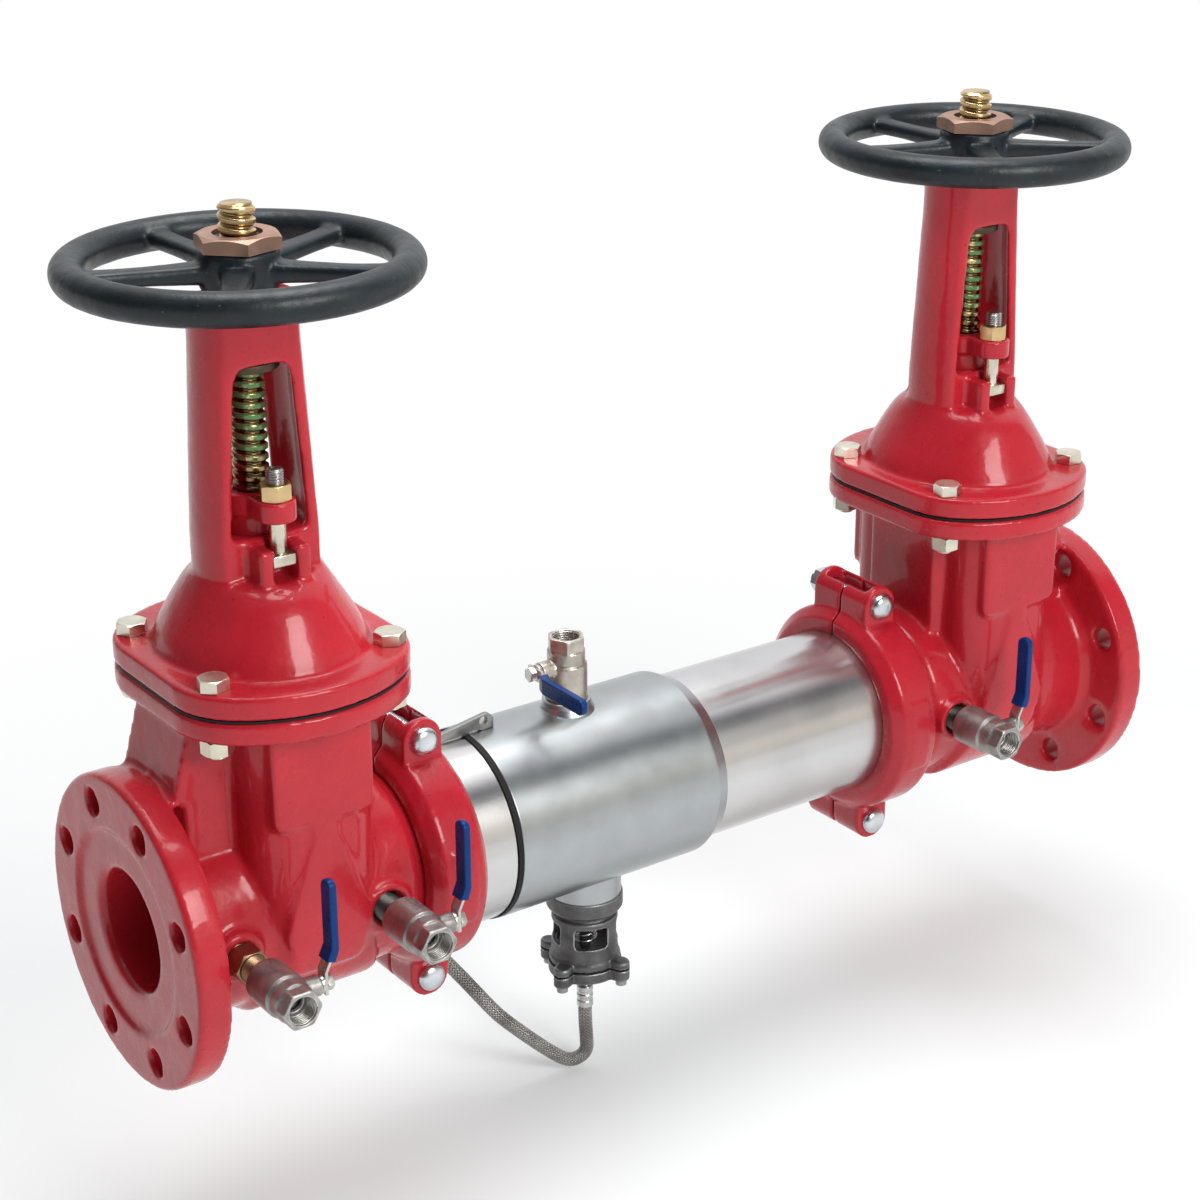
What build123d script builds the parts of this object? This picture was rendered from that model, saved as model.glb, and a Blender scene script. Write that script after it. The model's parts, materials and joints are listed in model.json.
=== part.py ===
from build123d import *
import os
from math import cos, pi, radians, sin, tan

# Whole device: lay length between the pipe flanges and the place of each valve
lay_length = 857.0
stem_from_face = 114.3

# Pipe flanges
flange_od = 220.0
flange_thickness = 24.0
flange_pcd = 180.0
flange_hole_d = 19.0
flange_holes = 8
spot_face_d = 33.0
spot_face_depth = 1.0
face_recess_r = 72.5
face_recess_depth = 3.5
bore_d = 84.0
bore_mouth = 3.0

# Valve body casting
barrel_r = 70.0
trunk_half_x = 46.0
trunk_half_y = 76.0
trunk_corner_r = 26.0
panel_half_x = 38.0
panel_rise = 2.5
panel_foot_z = 70.0
skirt_half_x = 33.0
skirt_foot_z = 6.0
box_half_y = 38.0
box_coupling_x = 56.0
gusset_top_x = 75.0
gusset_foot_z = 96.0
chamber_half_x = 26.0
chamber_half_y = 61.0
chamber_corner_r = 12.0
seat_rise = 3.7
seat_width = 8.0

# Joint between body and bonnet
joint_r = 102.0
joint_half_x = 84.0
joint_corner_r = 55.0
joint_z = 168.0
body_flange_thickness = 16.0
joint_gasket_thickness = 1.5
joint_gasket_inset = 1.5
bonnet_flange_thickness = 16.5
joint_bolt_x = 65.0
joint_bolt_y = 58.0
joint_bolt_d = 12.0
joint_bolt_head = 8.0
joint_nut_height = 10.8
joint_bolt_tail = 3.0
hex_12_flats = 19.0

# Bonnet dome and yoke
dome_half_x = 70.0
dome_half_y = 80.0
dome_top_z = 238.0
dome_wall = 9.0
yoke_foot_r = 42.0
yoke_top_r = 36.0
yoke_wall = 8.0
yoke_half_y = 24.3
window_foot_z = 265.0
window_top_z = 378.0
window_foot_half_x = 28.0
window_top_half_x = 20.0
yoke_top_z = 420.0
stuffing_bore_r = 19.0
stuffing_floor_z = 240.0

# Gland and its bolts
gland_z = 278.0
gland_thickness = 14.0
gland_hub_r = 22.0
gland_bolt_y = 32.0
gland_end_r = 13.0
gland_bolt_d = 12.0
gland_bolt_tail = 10.0
gland_nose = 4.0
packing_rings = 3
packing_gap = 0.4
lug_half_x = 18.5
lug_y = 43.0
lug_foot_z = 222.0
lug_top_z = 261.0
slot_half_x = 7.5
pocket_foot_z = 237.0
pocket_top_z = 256.0
tee_head_half = 8.5
tee_head_height = 8.0

# Stem, wedge and stem nut
stem_d = 24.0
stem_top_z = 477.8
wedge_half_x = 22.0
wedge_half_y = 55.0
wedge_top_z = 62.0
wedge_boss_r = 19.0
wedge_boss_height = 12.0
stem_socket_depth = 20.0
stem_nut_r = 17.0
stem_nut_collar_r = 23.0
stem_nut_collar_height = 3.0
lock_ring_height = 5.5
wheel_drive_r = 16.0
wheel_nut_flats = 50.0
wheel_nut_height = 9.5

# Handwheel
wheel_od = 236.0
wheel_rim_d = 22.7
wheel_z = 438.0
wheel_spokes = 5
wheel_hub_r = 26.0
wheel_hub_height = 26.5
spoke_root = (23.0, 14.0)
spoke_waist = (16.0, 11.0)
spoke_tip = (20.0, 12.0)
spoke_start = -121.0

# Housing tube between the couplings
tube_od = 129.0
tube_wall = 3.0
joint_gap = 3.0
coupling_from_stem = 104.2
groove_from_end = 12.5
groove_width = 7.5
groove_depth = 2.2

# Grooved couplings
coupling_width = 46.0
coupling_r = 84.0
coupling_edge_r = 75.0
coupling_cavity_half = 12.0
coupling_cavity_r = 78.0
coupling_panel_half_x = 9.0
coupling_panel_half_z = 28.0
coupling_panel_rise = 1.2
parting_gap = 1.6
ear_r = 15.5
ear_bolt_z = 93.0
ear_length = 31.0
ear_wall = 7.0
ear_bolt_d = 12.0
ear_head_r = 10.5
ear_head_height = 7.0

# Access sleeve on the housing
sleeve_od = 143.0
sleeve_start = 274.5
sleeve_end = 449.0
sleeve_cone = 12.0
sleeve_wall = 3.2
sleeve_lip = 11.0
seal_width = 4.0
seal_od = 142.0
band_r = 70.0
band_gap = 1.0
access_start = 300.0
access_end = 425.0
access_half_angle = 55.0
lock_bar_thickness = 4.0
lock_bar_hole_d = 7.0
lock_bar_foot = 8.0
lock_bar_foot_height = 6.0
lock_bar_tip_height = 13.0
lock_bar_reach = 21.0

# Check modules
check_inlet_x = 262.0
check_outlet_x = 468.0
check_seat_thickness = 14.0
check_bore_r = 38.0
clapper_r = 46.0
clapper_thickness = 9.0
hinge_z = 48.0
hinge_offset = 10.0
hinge_pin_d = 6.0
hinge_lug_r = 6.0
arm_half_y = 8.0
check_spring_wire_d = 1.6
check_spring_turns = 3
hinge_lug_y = 17.0
hinge_lug_thickness = 6.0

# Relief valve under the sleeve
relief_x = 376.0
relief_turn = -22.0
relief_stub_r = 28.0
relief_stub_z = -85.4
relief_collar_r = 29.3
relief_collar_z = -100.7
cage_neck_r = 23.0
cage_top_z = -104.0
cage_r = 25.4
cage_wall = 4.0
cage_windows = 4
cage_window_angle = 70.0
cage_window_top_z = -109.0
cage_window_foot_z = -126.0
cage_foot_z = -144.0
cage_guide_z = -136.0
cage_guide_height = 4.0
cage_flange_thickness = 6.0
lobe_pcd_r = 32.5
lobe_r = 6.6
diaphragm_thickness = 1.0
cover_foot_z = -154.5
cover_r = 28.0
relief_screw_d = 5.0
relief_screw_head_r = 4.25
relief_screw_head = 4.0
relief_screw_hex = 4.0
relief_screw_bite = 4.0
lobe_edge = 1.2
plunger_disc_r = 15.0
plunger_stem_r = 4.0
plunger_travel = 8.0
relief_seat_bore_r = 12.0
spring_wire_d = 2.2
spring_coil_r = 8.5
spring_turns = 4

# Test cocks: 1 and 2 on the inlet valve, 3 on the sleeve, 4 on the outlet valve
cock_1_offset = -66.3
cock_2_offset = 47.0
cock_4_offset = -57.0
cock_port_z = 0.0
cock_boss_r = 18.0
cock_boss_y = 77.0
cock_recess_r = 13.0
cock_recess_depth = 6.0
cock_1_reach = 31.0
cock_2_reach = 12.0
cock_4_reach = 6.0
cock_3_x = 361.0
cock_3_foot_z = 76.5
cock_length = 50.0
cock_socket_r = 15.4
cock_body_r = 14.0
cock_thread_r = 10.2
cock_thread_depth = 12.0
cock_bore_r = 6.0
cock_hex_flats = 25.0
cock_hex_length = 12.0
cock_stem_height = 26.5
cock_ball_r = 9.4
cock_stem_r = 4.0
cock_stem_boss_r = 7.2
cock_stem_reach = 24.0
lever_length = 73.0
lever_jog = 7.0
lever_bend = 24.0
lever_width = 9.5
lever_thickness = 2.2
lever_nut_flats = 10.0
lever_nut_height = 4.3
grip_width = 12.0
grip_thickness = 5.6
grip_start = 17.0
weld_boss_r = 18.2
nipple_flats = 22.0
nipple_hex_length = 16.0

# Sensing hose from the housing to the relief valve cover
hose_d = 10.4
hose_ferrule_r = 6.4
hose_tail_r = 4.5
hose_port_x = 256.0
hose_port_angle = 30.0
hose_port_reach = 95.0
hose_port_r = 4.0
hose_start_z = -187.0
hose_hex_flats = 12.0
hose_hex_length = 6.0
hose_tail_length = 14.0

# Clearances
touch_gap = 0.3
running_gap = 0.05
bolt_gap = 1.0

hose_route = [
    (relief_x, 0.0, hose_start_z),
    (relief_x, 0.0, -200.0),
    (377.2, 0.0, -215.0),
    (378.5, 1.0, -231.0),
    (364.0, 3.5, -236.0),
    (346.0, 7.0, -221.0),
    (326.0, 12.0, -201.0),
    (308.0, 18.5, -182.0),
    (297.0, 26.0, -165.5),
    (286.0, 37.0, -148.0),
    (266.0, 53.0, -119.0),
    (hose_port_x, 57.5, -99.6),
]

outlet_stem_x = lay_length - stem_from_face
barrel_half = tube_od / 2
coupling_inlet_x = stem_from_face + coupling_from_stem
coupling_outlet_x = lay_length - coupling_inlet_x
bonnet_foot_z = joint_z + joint_gasket_thickness
bonnet_face_z = bonnet_foot_z + bonnet_flange_thickness
body_face_z = joint_z - body_flange_thickness

LOW = (Align.CENTER, Align.CENTER, Align.MIN)
CORNER = (Align.MIN, Align.MIN, Align.MIN)


def bar(radius, start, end):
    """Round bar from one point to another."""
    along = Vector(*end) - Vector(*start)
    return Plane(origin=start, z_dir=along) * Cylinder(radius, along.length, align=LOW)


def tube(outer, inner, start, end):
    """Round tube from one point to another."""
    return bar(outer, start, end) - bar(inner, start, end)


def hex_bar(flats, start, end):
    """Hexagonal bar from one point to another."""
    along = Vector(*end) - Vector(*start)
    section = RegularPolygon(flats / 2, 6, major_radius=False)
    return Plane(origin=start, z_dir=along) * extrude(section, along.length)


def block(x0, x1, y0, y1, z0, z1):
    """Box between two corners."""
    return Pos(x0, y0, z0) * Box(x1 - x0, y1 - y0, z1 - z0, align=CORNER)


def block_face(x0, x1, y0, y1):
    """Flat rectangle between two corners."""
    return Pos((x0 + x1) / 2, (y0 + y1) / 2) * Rectangle(x1 - x0, y1 - y0)


def outline(*corners):
    """Closed face through (a, b) or (a, b, fillet radius) corners."""
    points = [corner[:2] for corner in corners]
    radii = [corner[2] if len(corner) > 2 else 0 for corner in corners]
    return make_face(FilletPolyline(*points, radius=radii, close=True))


def turned_x(*corners):
    """Solid turned about the pipe line from (x, radius) corners."""
    return revolve(outline(*corners), Axis.X)


def turned_z(*corners):
    """Solid turned about the Z axis from (radius, z) corners."""
    return revolve(Plane.XZ * outline(*corners), Axis.Z)


def pipe_band(outer, inner, start, end):
    """Ring about the pipe line between two stations."""
    return tube(outer, inner, (start, 0, 0), (end, 0, 0))


def at_valve(shape, outlet):
    """Places a shape drawn about the inlet valve's stem at either valve."""
    if outlet:
        return Pos(outlet_stem_x, 0, 0) * Rot(0, 0, 180) * shape
    return Pos(stem_from_face, 0, 0) * shape


def joint_flange(foot_z, thickness, inset=0):
    """Flange plan shared by body, gasket and bonnet, with its bolt holes."""
    plan = Circle(joint_r - inset) & Rectangle(2 * (joint_half_x - inset), 2 * joint_r)
    plan = fillet(plan.vertices(), joint_corner_r)
    holes = GridLocations(2 * joint_bolt_x, 2 * joint_bolt_y, 2, 2) * Circle((joint_bolt_d + bolt_gap) / 2)
    return Pos(0, 0, foot_z) * extrude(plan - holes, thickness)


def valve_trunk():
    """Upright wedge housing with its belly, side boxes, gusset and raised front and back panels."""
    plan = RectangleRounded(2 * trunk_half_x, 2 * trunk_half_y, trunk_corner_r)
    column = Pos(0, 0, -trunk_half_y) * extrude(plan, body_face_z + trunk_half_y)
    belly = bar(trunk_half_y, (-trunk_half_x, 0, 0), (trunk_half_x, 0, 0))
    upper = block(-trunk_half_x, trunk_half_x, -trunk_half_y, trunk_half_y, 0, body_face_z)
    trunk = column & (belly + upper)
    flange_back = flange_thickness - stem_from_face
    side = outline(
        (flange_back, 0),
        (flange_back, gusset_foot_z),
        (-gusset_top_x, body_face_z),
        (box_coupling_x, body_face_z),
        (box_coupling_x, 0),
    )
    box = extrude(Plane.XZ * side, box_half_y, both=True)
    panel = outline(
        (-panel_half_x, body_face_z),
        (-panel_half_x, panel_foot_z + 12, 6),
        (-9, panel_foot_z + 12, 2),
        (-9, panel_foot_z, 2),
        (-skirt_half_x, skirt_foot_z, 4),
        (-skirt_half_x + 8, -30, 8),
        (skirt_half_x - 8, -30, 8),
        (skirt_half_x, skirt_foot_z, 4),
        (9, panel_foot_z, 2),
        (9, panel_foot_z + 12, 2),
        (panel_half_x, panel_foot_z + 12, 6),
        (panel_half_x, body_face_z),
    )
    plates = extrude(Plane.XZ * panel, trunk_half_y + panel_rise, both=True)
    plates = plates & (
        bar(trunk_half_y + panel_rise, (-trunk_half_x, 0, 0), (trunk_half_x, 0, 0))
        + block(-trunk_half_x, trunk_half_x, -joint_r, joint_r, 0, body_face_z)
    )
    return trunk + box + plates


def spigot_groove(end_x, inward):
    """Ring cut for a coupling key, measured inward from a pipe end."""
    near = end_x + inward * groove_from_end
    far = near + inward * groove_width
    return pipe_band(barrel_half + 10, barrel_half - groove_depth, min(near, far), max(near, far))


def valve_body(cock_sites, outlet):
    """Gate valve body: pipe flange, barrel, trunk, joint flange, seats and cock bosses."""
    face = -stem_from_face
    flange_back = face + flange_thickness
    end_x = coupling_from_stem - joint_gap / 2
    casting = turned_x(
        (face, 0),
        (face, flange_od / 2, 2),
        (flange_back, flange_od / 2, 2),
        (flange_back, barrel_r, 9),
        (end_x - 30, barrel_r, 4),
        (end_x - 25, barrel_half, 2),
        (end_x, barrel_half),
        (end_x, 0),
    )
    casting += valve_trunk()
    casting += joint_flange(body_face_z, body_flange_thickness)
    for x, side, recessed in cock_sites:
        casting += bar(cock_boss_r, (x, 0, cock_port_z), (x, side * cock_boss_y, cock_port_z))
    plan = RectangleRounded(2 * chamber_half_x, 2 * chamber_half_y, chamber_corner_r)
    chamber = Pos(0, 0, -chamber_half_y) * extrude(plan, joint_z + chamber_half_y)
    chamber = chamber & (
        bar(chamber_half_y, (-chamber_half_x, 0, 0), (chamber_half_x, 0, 0))
        + block(-chamber_half_x, chamber_half_x, -chamber_half_y, chamber_half_y, 0, joint_z)
    )
    casting -= chamber
    for side in (-1, 1):
        inner = side * (chamber_half_x - seat_rise)
        casting += bar(bore_d / 2 + seat_width, (inner, 0, 0), (side * (chamber_half_x + 1), 0, 0))
    casting -= bar(bore_d / 2, (face, 0, 0), (end_x, 0, 0))
    mouth = face + face_recess_depth
    casting -= bar(face_recess_r, (face, 0, 0), (mouth, 0, 0))
    casting -= turned_x(
        (mouth, 0),
        (mouth, bore_d / 2 + bore_mouth),
        (mouth + bore_mouth, bore_d / 2),
        (mouth + bore_mouth, 0),
    )
    casting -= spigot_groove(end_x, -1)
    for turn in range(flange_holes):
        angle = 2 * pi * (turn + 0.5) / flange_holes
        y = flange_pcd / 2 * cos(angle)
        z = flange_pcd / 2 * sin(angle)
        casting -= bar(flange_hole_d / 2, (face - 1, y, z), (flange_back + 1, y, z))
        casting -= bar(spot_face_d / 2, (flange_back - spot_face_depth, y, z), (flange_back + 9, y, z))
    for x, side, recessed in cock_sites:
        mouth = (x, side * (cock_boss_y + 1), cock_port_z)
        casting -= bar(cock_thread_r, (x, 0, cock_port_z), mouth)
        if recessed:
            casting -= bar(cock_recess_r, (x, side * (cock_boss_y - cock_recess_depth), cock_port_z), mouth)
    return at_valve(casting, outlet)


def dome_section(grow, z):
    """Oval plan of the dome, grown or shrunk from its foot size, at a height."""
    return Pos(0, 0, z) * Ellipse(dome_half_x + grow, dome_half_y + grow)


def dome_shell():
    """Bell-shaped dome from the bonnet flange to the yoke foot, hollow for the raised wedge."""
    rise = dome_top_z - bonnet_face_z
    neck = yoke_foot_r + 2 - dome_half_x
    outer = loft([
        dome_section(0, bonnet_foot_z + 4),
        dome_section(-2, bonnet_face_z + 0.12 * rise),
        dome_section(neck * 0.42, bonnet_face_z + 0.45 * rise),
        dome_section(neck * 0.8, bonnet_face_z + 0.76 * rise),
        Pos(0, 0, dome_top_z) * Ellipse(yoke_foot_r + 1, yoke_half_y + 5),
    ])
    inner = loft([
        dome_section(-dome_wall, bonnet_foot_z),
        dome_section(-dome_wall - 1, bonnet_face_z + 0.05 * rise),
        dome_section(neck * 0.42 - dome_wall, bonnet_face_z + 0.42 * rise),
        Pos(0, 0, bonnet_face_z + 0.72 * rise) * Ellipse(stuffing_bore_r + 2, stuffing_bore_r + 2),
    ])
    return outer, inner


def yoke():
    """Tapered yoke, flat in front and behind, with a window between its legs and a solid foot."""
    shell = turned_z(
        (0, lug_foot_z),
        (yoke_foot_r, lug_foot_z),
        (yoke_foot_r, window_foot_z, 30),
        (yoke_top_r, window_top_z + 15, 40),
        (yoke_top_r, yoke_top_z, 2),
        (0, yoke_top_z),
    )
    hollow = turned_z(
        (0, window_foot_z),
        (yoke_foot_r - yoke_wall, window_foot_z),
        (yoke_top_r - yoke_wall, window_top_z, 4),
        (0, window_top_z),
    )
    window = outline(
        (-window_foot_half_x, window_foot_z, 4),
        (-window_top_half_x, window_top_z, 12),
        (window_top_half_x, window_top_z, 12),
        (window_foot_half_x, window_foot_z, 4),
    )
    reach = 2 * yoke_foot_r
    shell = shell & block(-reach, reach, -yoke_half_y, yoke_half_y, lug_foot_z, yoke_top_z)
    shell -= hollow
    shell -= extrude(Plane.XZ * window, reach, both=True)
    return shell


def gland_lugs():
    """Lugs at the yoke's front and back, slotted for the T-bolts of the gland."""
    lugs = []
    for side in (-1, 1):
        lug = block(-lug_half_x, lug_half_x, 20, lug_y, lug_foot_z, lug_top_z)
        near = gland_bolt_y - slot_half_x
        lug -= block(-slot_half_x, slot_half_x, near, lug_y + 1, pocket_foot_z, lug_top_z + 1)
        wide = tee_head_half + touch_gap
        lug -= block(-wide, wide, gland_bolt_y - wide, lug_y + 1, pocket_foot_z, pocket_top_z)
        if side < 0:
            lug = mirror(lug, about=Plane.XZ)
        lugs.append(lug)
    return lugs


def lug_clearances():
    """Room that the T-bolts need in the yoke foot behind each lug."""
    wide = tee_head_half + touch_gap
    room = block(-wide, wide, gland_bolt_y - wide, lug_y + 1, pocket_foot_z, pocket_top_z)
    near = gland_bolt_y - slot_half_x
    room += block(-slot_half_x, slot_half_x, near, lug_y + 1, pocket_foot_z, window_foot_z + 1)
    return room + mirror(room, about=Plane.XZ)


def bonnet(outlet):
    """Bonnet casting: joint flange, dome, yoke and gland lugs in one piece."""
    outer, inner = dome_shell()
    casting = joint_flange(bonnet_foot_z, bonnet_flange_thickness)
    casting += outer
    casting += yoke()
    for lug in gland_lugs():
        casting += lug
    casting -= lug_clearances()
    casting -= inner
    casting -= bar(stem_d / 2 + touch_gap, (0, 0, bonnet_foot_z), (0, 0, yoke_top_z + 1))
    casting -= bar(stuffing_bore_r, (0, 0, stuffing_floor_z), (0, 0, window_foot_z + 1))
    casting -= bar(stem_nut_r + running_gap, (0, 0, window_top_z - 1), (0, 0, yoke_top_z + 1))
    return at_valve(casting, outlet)


def bonnet_gasket(outlet):
    """Flat gasket in the joint between body and bonnet."""
    plan = joint_flange(joint_z, joint_gasket_thickness, joint_gasket_inset)
    inside = Ellipse(dome_half_x - dome_wall, dome_half_y - dome_wall)
    return at_valve(plan - Pos(0, 0, joint_z - 1) * extrude(inside, 5), outlet)


def hex_bolt(x, y, seat_z, nut_z):
    """Hexagon bolt from its head's seat down through its nut, chamfered like a turned head."""
    head = hex_bar(hex_12_flats, (x, y, seat_z), (x, y, seat_z + joint_bolt_head))
    crown = Pos(x, y, seat_z) * turned_z(
        (0, 0),
        (hex_12_flats * 0.6, 0),
        (hex_12_flats * 0.6, joint_bolt_head - 1.6),
        (hex_12_flats * 0.5, joint_bolt_head),
        (0, joint_bolt_head),
    )
    shank = bar(joint_bolt_d / 2, (x, y, nut_z - joint_nut_height - joint_bolt_tail), (x, y, seat_z))
    return (head & crown) + shank


def hex_nut(x, y, seat_z, height, flats, bolt_d):
    """Hexagon nut standing on its seat with a plain hole for its bolt."""
    nut = hex_bar(flats, (x, y, seat_z), (x, y, seat_z + height))
    crown = Pos(x, y, seat_z) * turned_z(
        (0, 0),
        (flats * 0.51, 0),
        (flats * 0.6, 1.4),
        (flats * 0.6, height - 1.4),
        (flats * 0.51, height),
        (0, height),
    )
    return (nut & crown) - bar(bolt_d / 2, (x, y, seat_z - 1), (x, y, seat_z + height + 1))


def bonnet_bolts():
    """The eight bolts and nuts of both body joints."""
    solids = []
    for outlet in (False, True):
        for sx in (-1, 1):
            for sy in (-1, 1):
                x = sx * joint_bolt_x
                y = sy * joint_bolt_y
                solids.append(at_valve(hex_bolt(x, y, bonnet_face_z, body_face_z), outlet))
                low = body_face_z - joint_nut_height
                nut = hex_nut(x, y, low, joint_nut_height, hex_12_flats, joint_bolt_d)
                solids.append(at_valve(nut, outlet))
    return solids


def gland(outlet):
    """Gland follower: oval flange with a nose that presses the packing."""
    plan = Circle(gland_hub_r) + Rectangle(2 * gland_end_r, 2 * gland_bolt_y)
    for side in (-1, 1):
        plan += Pos(0, side * gland_bolt_y) * Circle(gland_end_r)
    for side in (-1, 1):
        plan -= Pos(0, side * gland_bolt_y) * Circle((gland_bolt_d + bolt_gap) / 2)
    follower = Pos(0, 0, gland_z) * extrude(plan, gland_thickness)
    follower += bar(stuffing_bore_r - touch_gap, (0, 0, window_foot_z - gland_nose), (0, 0, gland_z))
    follower -= bar(stem_d / 2 + touch_gap, (0, 0, 0), (0, 0, yoke_top_z))
    return at_valve(follower, outlet)


def gland_packing(outlet):
    """Packing rings round the stem, under the gland's nose."""
    rings = []
    outer_r = stuffing_bore_r - touch_gap
    inner_r = stem_d / 2 + touch_gap
    room = window_foot_z - gland_nose - stuffing_floor_z - 2 * touch_gap
    height = room / packing_rings
    for turn in range(packing_rings):
        foot = stuffing_floor_z + touch_gap + turn * height
        ring = tube(outer_r, inner_r, (0, 0, foot), (0, 0, foot + height - packing_gap))
        rings.append(at_valve(ring, outlet))
    return rings


def gland_bolts():
    """T-bolts of both glands, their heads held in the lugs' pockets."""
    solids = []
    for outlet in (False, True):
        for side in (-1, 1):
            y = side * gland_bolt_y
            foot = pocket_top_z - tee_head_height
            top = gland_z + gland_thickness + joint_nut_height + gland_bolt_tail
            bolt = bar(gland_bolt_d / 2, (0, y, foot), (0, y, top))
            bolt = chamfer(bolt.edges().sort_by(Axis.Z)[-1], 1)
            half = tee_head_half
            bolt += block(-half, half, y - half, y + half, foot, pocket_top_z)
            solids.append(at_valve(bolt, outlet))
    return solids


def gland_nuts():
    """Nuts on the T-bolts of both glands."""
    solids = []
    for outlet in (False, True):
        for side in (-1, 1):
            seat = gland_z + gland_thickness
            nut = hex_nut(0, side * gland_bolt_y, seat, joint_nut_height, hex_12_flats, gland_bolt_d)
            solids.append(at_valve(nut, outlet))
    return solids


def stem(outlet):
    """Rising stem, chamfered at its top."""
    foot = wedge_top_z + wedge_boss_height - stem_socket_depth
    shaft = turned_z(
        (0, foot),
        (stem_d / 2, foot),
        (stem_d / 2, stem_top_z - 2),
        (stem_d / 2 - 2, stem_top_z),
        (0, stem_top_z),
    )
    return at_valve(shaft, outlet)


def wedge(outlet):
    """Wedge: round-bottomed disc, grooved round its edge, with a boss for the stem."""
    face = Circle(wedge_half_y) + Pos(0, wedge_top_z / 2) * Rectangle(2 * wedge_half_y, wedge_top_z)
    plane = Plane(origin=(-wedge_half_x, 0, 0), x_dir=(0, 1, 0), z_dir=(1, 0, 0))
    disc = plane * extrude(face, 2 * wedge_half_x)
    groove_r = wedge_half_y + 12
    waist = tube(groove_r, wedge_half_y - 7, (-wedge_half_x / 3, 0, 0), (wedge_half_x / 3, 0, 0))
    disc -= waist & block(-groove_r, groove_r, -groove_r, groove_r, -groove_r, 0)
    disc += bar(wedge_boss_r, (0, 0, wedge_top_z), (0, 0, wedge_top_z + wedge_boss_height))
    top = wedge_top_z + wedge_boss_height
    disc -= bar(stem_d / 2, (0, 0, top - stem_socket_depth), (0, 0, top + 1))
    return at_valve(disc, outlet)


def stem_nut(outlet):
    """Bronze nut that turns in the yoke's top and drives the stem, with its lock ring below."""
    bore = stem_d / 2 + running_gap
    top = yoke_top_z + stem_nut_collar_height + wheel_hub_height + wheel_nut_height - 2
    drive_z = yoke_top_z + touch_gap + stem_nut_collar_height
    nut = turned_z(
        (bore, window_top_z - lock_ring_height),
        (stem_nut_r, window_top_z - lock_ring_height),
        (stem_nut_r, yoke_top_z + touch_gap),
        (stem_nut_collar_r, yoke_top_z + touch_gap),
        (stem_nut_collar_r, drive_z),
        (wheel_drive_r, drive_z),
        (wheel_drive_r, top - 1),
        (wheel_drive_r - 1, top),
        (bore, top),
    )
    low = window_top_z - lock_ring_height
    ring = tube(stem_nut_r + 5, stem_nut_r, (0, 0, low), (0, 0, window_top_z - touch_gap))
    return [at_valve(nut, outlet), at_valve(ring, outlet)]


def handwheel(outlet):
    """Round-rimmed handwheel with five tapering spokes, the first at its start angle."""
    ring_r = (wheel_od - wheel_rim_d) / 2
    rim = Pos(0, 0, wheel_z) * Torus(ring_r, wheel_rim_d / 2)
    foot = yoke_top_z + touch_gap + stem_nut_collar_height
    hub = turned_z(
        (0, foot),
        (wheel_hub_r - 1, foot, 0),
        (wheel_hub_r, foot + 3),
        (wheel_hub_r, foot + wheel_hub_height - 2),
        (wheel_hub_r - 2, foot + wheel_hub_height),
        (0, foot + wheel_hub_height),
    )
    wheel = rim + hub
    spoke_z = foot + wheel_hub_height * 0.45
    for turn in range(wheel_spokes):
        root = Plane(origin=(0, 0, 0), x_dir=(1, 0, 0), z_dir=(0, -1, 0))
        inner = Pos(0, -(wheel_hub_r - 8), spoke_z) * (root * RectangleRounded(*spoke_root, 4))
        waist = root * RectangleRounded(*spoke_waist, 4)
        middle = Pos(0, -(wheel_hub_r + ring_r) / 2, (spoke_z + wheel_z) / 2) * waist
        outer = Pos(0, -ring_r + 2, wheel_z) * (root * RectangleRounded(*spoke_tip, 4))
        wheel += Rot(0, 0, spoke_start + 90 + turn * 360 / wheel_spokes) * loft([inner, middle, outer])
    wheel -= bar(wheel_drive_r, (0, 0, foot - 1), (0, 0, foot + wheel_hub_height + 1))
    shift = 180 if outlet else 0
    return at_valve(Rot(0, 0, shift) * wheel, outlet)


def wheel_nut(outlet):
    """Large hexagon nut that holds the handwheel on the stem nut."""
    foot = yoke_top_z + touch_gap + stem_nut_collar_height + wheel_hub_height
    nut = hex_nut(0, 0, foot, wheel_nut_height, wheel_nut_flats, 2 * wheel_drive_r)
    return at_valve(Rot(0, 0, 15) * nut, outlet)


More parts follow.
